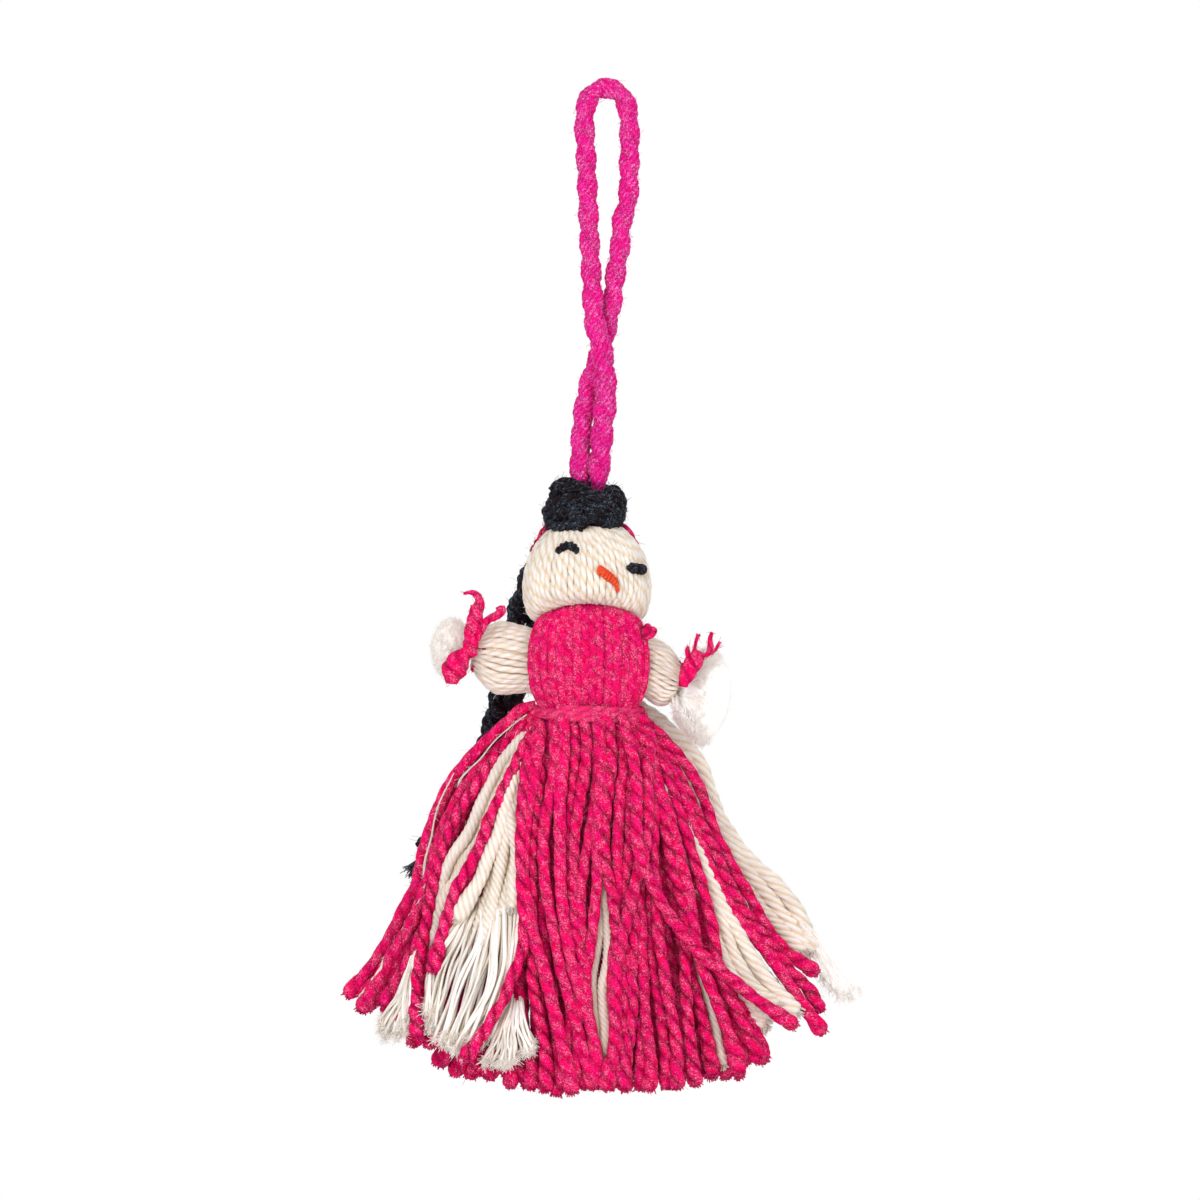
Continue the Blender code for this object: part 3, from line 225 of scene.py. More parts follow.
def yarn_look(name, fleck_and_highlight, around, sheen, shine, groove_shade_strength=0.8, slant=0.0, depth=0.0003, along=5.0):
    """Spun fibres that run along each strand, painted shade between plies and in hollows, and pale flecks
    partly painted as ridge highlights.
    """
    look = Look(bpy.data.materials.new(name))
    base, other, deep, pale, glint = ((*colour, 1) for colour in COLOURS[name])
    uv = look.add("ShaderNodeUVMap", uv_map="yarn").outputs[0]
    split = look.add("ShaderNodeSeparateXYZ", {0: uv})
    tone, dip = look.attribute("tone"), look.attribute("dip")
    lean = look.math("ADD", split.outputs[1], look.math("MULTIPLY", split.outputs[0], slant))
    place = look.add(
        "ShaderNodeCombineXYZ",
        {
            0: look.math("MULTIPLY", split.outputs[0], along),
            1: look.math("MULTIPLY", lean, around),
            2: look.math("MULTIPLY", tone, 41.0),
        },
    ).outputs[0]
    fibre = look.noise(place, 1.0, 3.0, 0.6)
    fine = look.noise(place, 3.8, 2.0, 0.6)
    body = look.add("ShaderNodeTexCoord").outputs["Object"]
    broad = look.noise(body, 160.0, 2.0, 0.5)
    patch = look.noise(body, 520.0, 1.0, 0.5)
    specks = look.noise(body, 2900.0, 1.0, 0.6)
    # Ambient occlusion darkens crowded places toward the groove colour: painted shade in hollows and between
    # strands
    occlusion_shade = look.add("ShaderNodeAmbientOcclusion", {"Distance": 0.0022}, samples=3).outputs["AO"]
    # Darkens the valleys between plies toward the groove colour: painted shade
    groove_shade = look.ramp(dip, 0.05, 0.9, 0.0, groove_shade_strength)
    shade = look.math("MAXIMUM", groove_shade, look.ramp(fibre, 0.48, 0.3, 0.0, 0.85))
    shade = look.math("MAXIMUM", shade, look.ramp(occlusion_shade, 0.66, 0.2, 0.0, 0.95))
    colour = look.mix(look.ramp(patch, 0.38, 0.62), base, other)
    # Mixes toward the groove colour by the painted shade and by darker fibre streaks
    colour = look.mix(shade, colour, deep)
    # Pale flecks, stronger on the ply ridges: partly pale fibres, partly painted highlights on the ridges
    light = look.math("MAXIMUM", look.ramp(fine, 0.54, 0.66), look.ramp(specks, 0.56, 0.66))
    light = look.math("MULTIPLY", look.math("MULTIPLY", light, look.ramp(dip, 0.9, 0.1, 0.3, 1.0)), fleck_and_highlight)
    colour = look.mix(light, colour, look.mix(look.ramp(patch, 0.56, 0.44), pale, glint))
    colour = look.mix(look.ramp(broad, 0.35, 0.7, 0.0, 0.2), colour, pale, "SOFT_LIGHT")
    # Tones above 1 turn toward the pale colour: partly the whiter colour of loose fibres, partly painted
    # light that fills their self-shadow, and painted sheen on black hair
    colour = look.mix(look.ramp(tone, 1.0, 2.0), colour, pale)
    level = look.ramp(tone, 0.0, 1.0, 0.92, 1.02)
    level = look.math("ADD", level, look.ramp(broad, 0.3, 0.7, -0.05, 0.05))
    grey = look.add("ShaderNodeCombineXYZ", {0: level, 1: level, 2: level}).outputs[0]
    look.put(look.shader.inputs["Base Color"], look.mix(1.0, colour, grey, "MULTIPLY"))
    look.put(look.shader.inputs["Roughness"], look.ramp(fibre, 0.3, 0.7, 0.95, 0.68))
    look.shader.inputs["Specular IOR Level"].default_value = shine
    look.shader.inputs["Sheen Weight"].default_value = sheen
    look.shader.inputs["Sheen Roughness"].default_value = 0.45
    look.shader.inputs["Sheen Tint"].default_value = pale
    height = look.math("ADD", fibre, look.math("MULTIPLY", fine, 0.5))
    strength = look.ramp(tone, 1.1, 1.5, 0.75, 0.0)
    bump = look.add("ShaderNodeBump", {"Strength": strength, "Distance": depth, "Height": height})
    look.put(look.shader.inputs["Normal"], bump.outputs[0])
    look.made.diffuse_color = base
    return look.made


def unit(vectors):
    return vectors / np.maximum(np.linalg.norm(vectors, axis=-1, keepdims=True), 1e-12)


def smooth(points, step):
    """Evenly spaced points along a smooth curve through the points given."""
    points = np.array(points, float)
    padded = np.vstack([2 * points[0] - points[1], points, 2 * points[-1] - points[-2]])
    t = np.linspace(0, 1, 12, endpoint=False)[:, None]
    fine = []
    for i in range(len(points) - 1):
        a, b, c, d = padded[i : i + 4]
        bend = 2 * a - 5 * b + 4 * c - d
        turn = 3 * b - a - 3 * c + d
        fine.append(0.5 * (2 * b + (c - a) * t + bend * t**2 + turn * t**3))
    fine = np.vstack([*fine, points[-1:]])
    along = lengths(fine)
    at = np.linspace(0, along[-1], max(4, round(along[-1] / step) + 1))
    return np.stack([np.interp(at, along, fine[:, k]) for k in range(3)], axis=1)


def lengths(route):
    steps = np.linalg.norm(np.diff(route, axis=0), axis=1)
    return np.concatenate([[0], np.cumsum(steps)])


def carried_frame(route):
    """Directions along and across a route that never spin about it."""
    ways = unit(np.gradient(route, axis=0))
    first = np.cross(ways[0], (0.3, 0.9, 0.2))
    sides = [unit(first)]
    for way in ways[1:]:
        sides.append(unit(sides[-1] - way * np.dot(sides[-1], way)))
    sides = np.array(sides)
    return ways, sides, np.cross(ways, sides)


class Yarn:
    """A mesh gathered from many tubes, each point marked with its strand's tone and its dip."""

    def __init__(self):
        self.points, self.quads, self.uvs, self.tones, self.dips = [], [], [], [], []
        self.total = 0

    def gather(self, grid, along, dips, tones):
        """Closed tubes from a grid of tubes, rings, points on a ring, and places."""
        tubes, rings, sides = grid.shape[:3]
        index = np.arange(tubes * rings * sides).reshape(tubes, rings, sides) + self.total
        after = np.roll(index, -1, axis=2)
        walls = np.stack([index[:, :-1], after[:, :-1], after[:, 1:], index[:, 1:]], axis=-1)
        v = np.arange(sides) / sides
        u = along * 100
        uv = np.empty((*walls.shape, 2))
        for corner, (ahead, over) in enumerate(((0, 0), (0, 1), (1, 1), (1, 0))):
            uv[..., corner, 0] = (u[:, 1:] if ahead else u[:, :-1])[..., None]
            uv[..., corner, 1] = v + over / sides
        self.quads.append(walls.reshape(-1, 4))
        self.uvs.append(uv.reshape(-1, 4, 2))
        for k in range(sides // 2 - 1):
            cap = [k, k + 1, sides - 2 - k, sides - 1 - k]
            for ring, order in ((0, cap[::-1]), (rings - 1, cap)):
                self.quads.append(index[:, ring][:, order])
                end = np.empty((tubes, 4, 2))
                end[..., 0] = u[:, ring, None]
                end[..., 1] = v[order]
                self.uvs.append(end)
        self.points.append(grid.reshape(-1, 3))
        self.dips.append(np.broadcast_to(dips, (tubes, rings, sides)).ravel())
        self.tones.append(np.repeat(tones, rings * sides))
        self.total += tubes * rings * sides

    def tube(self, route, radius, sides=12, plies=1, turn=0.0085, dip=0.26, tone=None, phase=0.0):
        """One strand: round, or with plies that wind about each other."""
        ways, across, out = carried_frame(route)
        along = lengths(route)
        angle = np.arange(sides) / sides * TAU
        spin = phase - (TAU * along / turn if plies > 1 else 0 * along)
        valley = 1 - abs(np.cos(plies * angle / 2)) if plies > 1 else 0 * angle
        reach = np.broadcast_to(radius, len(route))[:, None] * (1 - dip * valley)
        turned = angle[None] + spin[:, None]
        grid = route[:, None] + across[:, None] * (reach * np.cos(turned))[..., None]
        grid = grid + out[:, None] * (reach * np.sin(turned))[..., None]
        tone = chance.uniform() if tone is None else tone
        # How far down a valley between plies each point lies, which the look darkens as painted shade
        dips = valley * min(1, dip / 0.24)
        self.gather(grid[None], along[None], dips[None, None], np.array([tone]))

    def hairs(self, starts, ways, long, thick, bend=0.5, steps=5, tone=(0.2, 1.0)):
        """Fine fibres that leave their starts along their ways and curl a little."""
        count = len(starts)
        long = np.broadcast_to(long, count)[:, None, None]
        t = np.linspace(0, 1, steps)[None, :, None]
        curl = chance.normal(0, bend, (count, 1, 3))
        ways = unit(np.asarray(ways, float))[:, None]
        routes = np.asarray(starts)[:, None] + (ways * t + curl * t**2 * 0.5) * long
        self.threads(routes, thick, tone)

    def threads(self, routes, thick, tone=(0.2, 1.0), sides=4):
        """Thin tubes along many routes that have the same number of points."""
        count, steps = routes.shape[:2]
        ways = unit(np.gradient(routes, axis=1))
        side = unit(np.cross(ways, (0.37, 0.61, 0.7)))
        up = np.cross(ways, side)
        angle = np.arange(sides) / sides * TAU
        reach = np.broadcast_to(thick, (count, steps))[..., None, None] / 2
        grid = routes[:, :, None] + side[:, :, None] * np.cos(angle)[:, None] * reach
        grid = grid + up[:, :, None] * np.sin(angle)[:, None] * reach
        along = np.linalg.norm(routes - routes[:, :1], axis=2)
        self.gather(grid, along, np.zeros((1, 1, 1)), chance.uniform(*tone, count))

    def fuzz(self, route, radius, count, long=0.0016, thick=0.00007, tone=(0.6, 1.5)):
        """Loose fibres that stand off a strand."""
        ways, across, out = carried_frame(route)
        at = chance.integers(1, len(route), count)
        angle = chance.uniform(0, TAU, count)[:, None]
        off = across[at] * np.cos(angle) + out[at] * np.sin(angle)
        ways = ways[at] * chance.choice((-1, 1), count)[:, None]
        ways = ways + off * chance.uniform(0.15, 1.0, (count, 1))
        radius = np.broadcast_to(radius, len(route))[at][:, None]
        starts = route[at] + off * radius * 0.8
        self.hairs(starts, ways, chance.uniform(0.4, 1.3, count) * long, thick, 0.6, tone=tone)

    def frayed(self, route, radius, count, long, spread=0.35, thick=0.00022, tone=(0.1, 1.0)):
        """The cut end of a strand, where its fibres part."""
        way, across, out = (v[-1] for v in carried_frame(route))
        angle = chance.uniform(0, TAU, count)[:, None]
        share = np.sqrt(chance.uniform(0, 1, count))[:, None]
        off = (across * np.cos(angle) + out * np.sin(angle)) * share
        starts = route[-1] - way * radius + off * radius * 0.85
        reach = chance.uniform(0.5, 1.1, count) * long + radius
        self.hairs(starts, way + off * spread, reach, thick, 0.3, tone=tone)

    def fluff(self, tips, ways, count, long, spread=0.6, thick=0.0001, tone=(1.1, 2.0)):
        """Fine fibres that burst from the ends of thin yarns."""
        ways = np.repeat(unit(ways), count, axis=0)
        starts = np.repeat(tips, count, axis=0) - ways * long * 0.4
        starts = starts + chance.normal(0, thick, starts.shape)
        ways = ways + chance.normal(0, spread, ways.shape)
        self.hairs(starts, ways, chance.uniform(0.5, 1.2, len(ways)) * long, thick, 0.8, 5, tone)

    def shell(self, rings, tone=0.3):
        """A closed body skinned over rings of points."""
        grid = np.array(rings, float)
        along = lengths(grid[:, 0])
        self.gather(grid[None], along[None], np.zeros((1, 1, 1)), np.array([tone]))

    def make(self, name, look, body, nodes):
        """The mesh as an object on its body, in place of its solids."""
        mesh = bpy.data.meshes.new(name)
        points, quads = np.concatenate(self.points), np.concatenate(self.quads)
        mesh.vertices.add(len(points))
        mesh.vertices.foreach_set("co", points.ravel().astype(np.float32))
        mesh.loops.add(quads.size)
        mesh.loops.foreach_set("vertex_index", quads.ravel().astype(np.int32))
        mesh.polygons.add(len(quads))
        mesh.polygons.foreach_set("loop_start", np.arange(len(quads), dtype=np.int32) * 4)
        mesh.update(calc_edges=True)
        layer = mesh.uv_layers.new(name="yarn")
        layer.data.foreach_set("uv", np.concatenate(self.uvs).ravel().astype(np.float32))
        for key, values in (("tone", self.tones), ("dip", self.dips)):
            marks = mesh.attributes.new(key, "FLOAT", "POINT")
            marks.data.foreach_set("value", np.concatenate(values).astype(np.float32))
        mesh.shade_smooth()
        mesh.materials.append(look)
        made = bpy.data.objects.new(name, mesh)
        bpy.context.scene.collection.objects.link(made)
        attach(made, body)
        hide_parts(*nodes)
        return made


def seen(px, py, y=0.0):
    """The point at a depth that the camera sees at a place in the photograph."""
    grow = PIXEL * (AWAY + y) / AWAY
    return np.array((MIDDLE_X + (px - CENTRE) * grow, y, MIDDLE_Z - (py - CENTRE) * grow))


def make_camera():
    data = bpy.data.cameras.new("camera")
    data.lens = LENS * 1000
    data.sensor_width = FILM * 1000
    camera = bpy.data.objects.new("camera", data)
    camera.location = (MIDDLE_X, -AWAY, MIDDLE_Z)
    camera.rotation_euler = (math.radians(90), 0, 0)
    bpy.context.scene.collection.objects.link(camera)
    bpy.context.scene.camera = camera


def make_cord(look):
    """Two plies, each of fine yarns laid the other way, wound into a cord."""
    route = smooth(np.array(LOOP_ROUTE_SHARES) * (LOOP_WIDTH, LOOP_WIDTH, LOOP_DROP), STEP)
    cord = Yarn()
    along = lengths(route)
    length = along[-1]
    # The cord is thin at its start in the bun and a little thicker near both ends
    girth = np.interp(along, (0, 0.0026, 0.03, 0.05, length - 0.04, length), (0.5, 1.13, 1.13, 1, 1, 1.12))
    ways, across, out = carried_frame(route)
    reach = CORD_WIDE * 0.135
    for ply in range(2):
        spin = (-TAU * along / CORD_TURN + ply * TAU / 2)[:, None]
        path = route + (across * np.cos(spin) + out * np.sin(spin)) * reach
        thick = CORD_WIDE * (0.385 + 0.014 * np.sin(along * 2900 + ply)) * girth
        cord.tube(path, thick, 24, 6, -0.0072, 0.16, tone=0.3 + 0.4 * ply)
        cord.fuzz(path, thick, 1500, 0.0011, tone=(0.7, 1.7))
    made = cord.make("twisted_loop", look, "hanger", ("hanging_loop",))


def head_share(down):
    table = np.array(HEAD_RING_SHARES)[:6]
    return np.interp(down / HEAD_HEIGHT, table[:, 2], table[:, 0])


def head_point(angle, row, grow):
    wide, side_down, front_down = row
    down = side_down + (front_down - side_down) * abs(math.sin(angle))
    return (
        HEAD_X + (HEAD_WIDTH / 2 * wide + grow) * math.cos(angle),
        -(HEAD_DEPTH / 2 * wide + grow) * math.sin(angle),
        HEAD_TOP_Z - HEAD_HEIGHT * down,
    )


def make_head(look):
    """A hank folded over the top of the head, its strands side by side down to the neck."""
    head = Yarn()
    for k in range(HEAD_STRANDS):
        angle = math.pi * (k + 0.5 + chance.uniform(-0.08, 0.08)) / HEAD_STRANDS
        thick = 0.00082 * chance.uniform(0.95, 1.08)
        down = [head_point(angle, row, -thick * 0.55) for row in HEAD_RING_SHARES]
        ridge = HEAD_X + HEAD_WIDTH * 0.23 * math.cos(angle)
        top = [(ridge, -0.003, HEAD_TOP_Z - 0.0004), (ridge, 0.003, HEAD_TOP_Z - 0.0004)]
        back = [(x, -y, z) for x, y, z in reversed(down)]
        route = smooth([*down[::-1], *top, *back[::-1]], 0.00042)
        route = route + chance.normal(0, 0.00004, route.shape)
        turn = 0.0058 * chance.uniform(0.9, 1.15)
        head.tube(route, thick, 12, 2, turn, 0.24, phase=chance.uniform(0, TAU))
        head.fuzz(route, thick, 26, 0.0012, FINE)
    rings = []
    for row in ((0.3, 0.06, 0.06), *HEAD_RING_SHARES):
        rings.append([head_point(a, row, -0.0007) for a in np.arange(32) / 32 * TAU])
    head.shell(rings)
    head.make("head_strands", look, "head", ("head",))


def on_head(px, py, lift):
    """A point above the face, from its place in the photograph."""
    point = seen(px, py, -HEAD_DEPTH / 2)
    share = head_share(HEAD_TOP_Z - point[2])
    half = HEAD_WIDTH / 2 * share + lift
    inside = max(0, 1 - ((point[0] - HEAD_X) / half) ** 2)
    return seen(px, py, -(HEAD_DEPTH / 2 * share + lift) * math.sqrt(inside))


def make_stitch(name, node, look, pixels, thick, wraps):
    """Thread wrapped round a stitch: pixels and share of the thickness at each point of it."""
    stitch = Yarn()
    route = [on_head(x, y, thick * 0.3) for x, y, _ in pixels]
    ends = [on_head(x, y, -0.0009) for x, y, _ in (pixels[0], pixels[-1])]
    route = smooth([ends[0], *route, ends[1]], 0.00006)
    at = np.linspace(0, 1, len(route))
    shares = [pixels[0][2], *[share for _, _, share in pixels], pixels[-1][2]]
    radii = np.interp(at, np.linspace(0, 1, len(shares)), shares) * thick / 2
    stitch.tube(route, radii * 0.8, 12)
    _, across, out = carried_frame(route)
    spin = (at * wraps * TAU)[:, None]
    coil = route + (across * np.cos(spin) + out * np.sin(spin)) * radii[:, None] * 0.72
    stitch.tube(smooth(coil[::2], 0.00008), thick * 0.19, 8, tone=0.9)
    stitch.fuzz(route, radii, 24, 0.0006, 0.00005, (0.5, 1.3))
    stitch.make(name, look, "head", (node,))


def make_face(black, red):
    """Two black eyes and a red mouth, each a stitch in pixels and shares of its thickness."""
    left = ((559.5, 550.5, 0.85), (562.5, 547.5, 1), (567.5, 545.5, 1.05), (573, 547, 0.95), (577, 551, 0.6))
    right = ((631, 568, 0.95), (634.5, 568.5, 1), (638, 569, 1), (641.5, 569.5, 0.95))
    make_stitch("stitched_eye_left", "eye_left", black, left, 0.0019, 9)
    make_stitch("stitched_eye_right", "eye_right", black, right, 0.0023, 7)
    mouth = (
        (600.5, 570.5, 0.9), (604, 573, 1), (608, 576, 1), (612, 579, 0.75), (615.5, 583, 0.22),
        (617.5, 590, 0.1),
    )
    make_stitch("stitched_mouth", "mouth", red, mouth, 0.0021, 12)


def clear_crown(route, radius):
    """Keeps a lock out of the room in which the loop's stem swings."""
    need = CORD_WIDE / 2 + GAP + radius
    swing = math.radians(30)
    clear = []
    for x, y, z in route:
        high = z - CROWN_Z
        if -0.0082 - radius < x < 0.0018 + radius:
            if high <= 0 and math.hypot(y, high) < need:
                grow = need / max(math.hypot(y, high), 1e-6)
                y, high = y * grow, high * grow
            if high > 0:
                y = math.copysign(max(abs(y), need / math.cos(swing) + high * math.tan(swing)), y)
        clear.append((x, y, CROWN_Z + high))
    return np.array(clear)


# Hair in front of the cord's foot, beside it and behind it: pixels and depth
BUN_FRONTS = (
    ((553, 492, -0.0056), (558, 486, -0.0058), (565, 483, -0.006), (572, 484, -0.006), (578, 489, -0.006)),
    ((560, 490, -0.0052), (575, 487, -0.006), (588, 493, -0.0062), (600, 500, -0.0056)),
    ((556, 502, -0.0056), (570, 499, -0.0068), (584, 505, -0.007), (594, 514, -0.0064)),
    ((553, 516, -0.005), (566, 512, -0.0066), (579, 517, -0.0074), (588, 526, -0.0072)),
    ((552, 524, -0.0038), (561, 527, -0.0056), (573, 525, -0.0074), (584, 528, -0.0076)),
    ((560, 490, 0.0054), (582, 487, 0.0062), (600, 489, 0.006), (614, 493, 0.005)),
    ((551, 519, -0.0046), (549.5, 519, 0), (551, 519, 0.0046)),
    ((559, 528, -0.0052), (556, 528, 0), (559, 528, 0.0052)),
)


def hair_lock(shape, route, thick, hairs, dip=0.26, sides=20, plies=5):
    """A lock of black yarn with its loose hairs."""
    shape.tube(route, thick, sides, plies, 0.008, dip)
    shape.fuzz(route, thick, hairs, 0.0012, FINE, HAIR_TONES)


def make_bun(look):
    """Loops of hair gathered on the crown, and the curl beside them."""
    bun = Yarn()
    middle = np.array((-0.0078, 0.0, -0.0894))
    half = np.array((0.0038, 0.0066, 0.0046))
    for k, angle in enumerate(np.radians((84, 106, 128, 150, 172, 194, 216, 238, 260, 284))):
        route = []
        grow = 1 + 0.08 * (k % 2) + chance.uniform(-0.03, 0.03)
        for a in np.radians(np.linspace(12, 168, 13)):
            out = np.array((math.sin(a) * math.cos(angle), -math.cos(a), math.sin(a) * math.sin(angle)))
            lean = 0.003 * max(0, math.cos(a)) + 0.0016 * out[2]
            route.append(middle + half * out * grow + np.array((lean, 0, 0)))
        route = smooth(clear_crown(route, 0.0014), STEP)
        thick = np.interp(np.linspace(0, 1, len(route)), (0, 0.5, 1), (0.0011, 0.0017, 0.0011))
        hair_lock(bun, route, thick, 120)
    for rows in BUN_FRONTS:
        route = smooth(clear_crown([seen(*row) for row in rows], 0.0016), STEP)
        hair_lock(bun, route, 0.0014, 60, 0.22)
    tuft_core(bun, (-0.0068, 0, -0.0917), (0.0056, 0.0064, 0.004), tone=0.2)
    bun.make("bun_loops", look, "head", ("hair_bun",))

    curl = Yarn()
    rows = (
        (602, 505), (605, 498), (609, 492), (614, 490), (619, 498), (619.5, 509), (617, 520),
        (609, 527), (597, 527),
    )
    for depth, size in ((-0.0056, 0.84), (-0.003, 1.0), (0, 1.04), (0.003, 1.0), (0.0056, 0.84)):
        route = [seen(600 + (x - 600) * size, 508 + (y - 508) * size, depth) for x, y in rows]
        route = smooth(clear_crown(route, 0.0014), STEP)
        hair_lock(curl, route, 0.0015, 100)
    inner = (
        ((589, 494), (600, 502), (613, 519)),
        ((585, 498), (595, 508), (606, 525)),
        ((586, 506), (592, 514), (599, 527)),
        ((600, 497), (609, 503), (617, 514)),
    )
    for k, (start, bend, end) in enumerate(inner):
        front = -0.0066 - 0.0003 * (k % 2)
        route = [seen(*start, front + 0.0014), seen(*bend, front), seen(*end, front + 0.0016)]
        hair_lock(curl, smooth(route, STEP), 0.0013, 60, sides=18, plies=4)
    tuft_core(curl, (0.0004, 0, -0.0898), (0.0042, 0.0062, 0.003), tone=0.2)
    curl.make("curled_lock", look, "head", ("bun_curl",))


def make_back_hair(look):
    """Hair combed from under the bun, over the back of the head, to the braid."""
    hair = Yarn()
    end = BRAID_TOP + (0.0005, -0.0012, 0.0006)
    for k in range(14):
        share = k / 13
        x = -0.0126 + 0.017 * share
        route = [
            (x * 0.75 - 0.001, 0.0045, -0.0945),
            (x, 0.0105 - 0.002 * abs(share - 0.4), -0.0972),
            (x - 0.001 - 0.002 * share, 0.0138, -0.1005 - 0.0022 * share),
            (x - 0.003 - 0.006 * share, 0.0152, -0.1025 - 0.002 * share),
            end + np.array((0.0008 * math.cos(k), 0.0, -0.001 * math.sin(k))),
        ]
        route = smooth(route, 0.0005)
        hair.tube(route, HAIR, 12, 3, 0.009, 0.2)
        hair.fuzz(route, HAIR, 34, 0.0016, FINE, LONG_HAIR_TONES)
    # Rings round the top of the plait, which fill the room that its swing opens
    around = np.linspace(0, TAU, 25)
    for rise, reach in ((-0.0014, 0.0022), (0, 0.0028), (0.0014, 0.0022)):
        ring = [BRAID_TOP + (reach * math.cos(a), reach * math.sin(a), rise) for a in around]
        hair.tube(smooth(ring, STEP), 0.0011, 12, 3, 0.009, 0.2)
    hair.make("combed_hair", look, "head", ("back_hair",))


def make_band(look):
    """The pink yarn tied round behind the bun."""
    band = Yarn()
    rows = (
        (533, 552, 0.0056), (538, 545, 0.0034), (541, 538, 0.0022), (545.5, 529, 0.0026),
        (556, 526, 0.0062), (586, 527, 0.0092), (612, 526, 0.0062), (624.5, 528, 0.0026),
        (629.5, 534, 0.0022), (633, 541, 0.0034), (637, 549, 0.0056),
    )
    route = smooth([seen(*row) for row in rows], STEP)
    band.tube(route, BAND_YARN, 12, 2, 0.006, 0.25)
    band.fuzz(route, BAND_YARN, 90, 0.001)
    band.make("hair_band", look, "head", ("headband",))


def make_braid(look):
    """Three strands of fine black yarn, plaited, and their cut ends."""
    route = smooth(BRAID_TOP + np.array(BRAID_ROUTE_SHARES) * BRAID_LENGTH, 0.0006)
    ways = unit(np.gradient(route, axis=0))
    across = unit(np.cross(ways, (0, 1, 0)))
    out = np.cross(across, ways)
    at = np.linspace(0, 1, len(route))
    for strand in range(3):
        phase = (TAU * (at * BRAID_CYCLES + strand / 3))[:, None]
        path = route + across * 0.0026 * np.sin(phase) + out * 0.0016 * np.sin(2 * phase)
        lock = Yarn()
        path = smooth(path, 0.0005)
        lock.tube(path, BRAID_STRAND, 20, 5, 0.012, 0.2)
        lock.fuzz(path, BRAID_STRAND, 420, 0.002, FINE, LONG_HAIR_TONES)
        name = f"braid_strand_{strand + 1}"
        lock.make(f"{name}_yarn", look, "braid", (name,))
    tuft = Yarn()
    way = ways[-1]
    stem = smooth([route[-1] - way * 0.001, route[-1] + way * 0.0015, route[-1] + way * 0.0045], STEP)
    girth = np.interp(lengths(stem), (0, 0.0022, 0.0055), (0.0021, 0.0014, 0.0019))
    tuft.tube(stem, girth, 18, 5, 0.01, 0.22)
    tuft.frayed(stem, 0.0017, 150, 0.0022, 0.3, 0.00018, (0.4, 1.7))
    tuft.fuzz(stem, 0.0018, 60, 0.002, FINE, LONG_HAIR_TONES)
    tuft.make("braid_tuft", look, "braid", ("braid_end",))


def section(angle, half_width, half_depth, square):
    """A point on a squared oval."""
    c, s = math.cos(angle), math.sin(angle)
    power = 3 * square
    reach = (abs(c) ** power + abs(s) ** power) ** (-1 / power)
    return half_width * c * reach, half_depth * s * reach


def make_panel(name, node, look, side):
    """One face of the bodice: strands side by side, folded in under the chin."""
    panel = Yarn()
    edge = math.asin(SIDE_OPENING / TORSO_DEPTH)
    for k in range(PANEL_STRANDS):
        angle = edge + (math.pi - 2 * edge) * (k + chance.uniform(-0.07, 0.07)) / (PANEL_STRANDS - 1)
        angle = min(max(angle, edge), math.pi - edge)
        route = []
        for high, wide, deep, square in PANEL_ROW_SHARES:
            half_width = TORSO_WIDTH / 2 * wide - PANEL_STRAND * 0.7
            half_depth = TORSO_DEPTH / 2 * deep - PANEL_STRAND * 0.7
            x, y = section(angle, half_width, half_depth, square)
            fall = SHOULDER_DROP * math.cos(angle) ** 2
            z = WAIST_Z + GAP + (TORSO_HEIGHT - fall - GAP) * high
            route.append((TORSO_X + x, side * y, z))
        route = smooth(route, 0.00045)
        route = route + chance.normal(0, 0.00005, route.shape)
        thick = PANEL_STRAND * chance.uniform(0.95, 1.08)
        taper = np.interp(lengths(route), (0, 0.004, 0.008), (0.72, 0.85, 1)) * thick
        turn = 0.0066 * chance.uniform(0.85, 1.15)
        panel.tube(route, taper, 12, 2, turn, 0.1, phase=chance.uniform(0, TAU))
        panel.fuzz(route, thick, 110, 0.001)
    panel.make(name, look, "torso", (node,))


def make_core(look):
    """The cream hank inside the bodice, which shows where the arms leave it."""
    core = Yarn()
    for k in range(CORE_STRANDS):
        angle = TAU * k / CORE_STRANDS
        route = []
        for high, wide, deep, square in PANEL_ROW_SHARES[:10]:
            fall = SHOULDER_DROP * math.cos(angle) ** 2
            z = WAIST_Z + GAP + (TORSO_HEIGHT - 0.0038 - fall) * high
            x = (TORSO_WIDTH / 2 * wide - 0.0037) * math.cos(angle)
            y = (TORSO_DEPTH / 2 * deep - 0.0039) * math.sin(angle)
            route.append((TORSO_X + x, y, z))
        core.tube(smooth(route, 0.0006), 0.0009, 8, 2, 0.0055, 0.28)
    core.make("inner_hank", look, "torso", ("torso_core",))


def knot(shape, middle, size, thick, way):
    """A yarn knotted over itself into a small ball that faces a way."""
    t = np.linspace(0, TAU, 60)
    x, y, z = np.sin(t) + 2 * np.sin(2 * t), np.cos(t) - 2 * np.cos(2 * t), -1.6 * np.sin(3 * t)
    route = np.stack([x, y, z], axis=1)
    about = Vector((0, 0, 1)).rotation_difference(Vector(way)).to_matrix()
    route = route @ np.array(about).T
    route = smooth(np.asarray(middle) + route / 3 * (size - thick) / 2, 0.0003)
    shape.tube(route, thick / 2, 10, 2, 0.004, 0.22)
    shape.fuzz(route, thick / 2, 60, 0.0011, FINE, (0.7, 1.5))


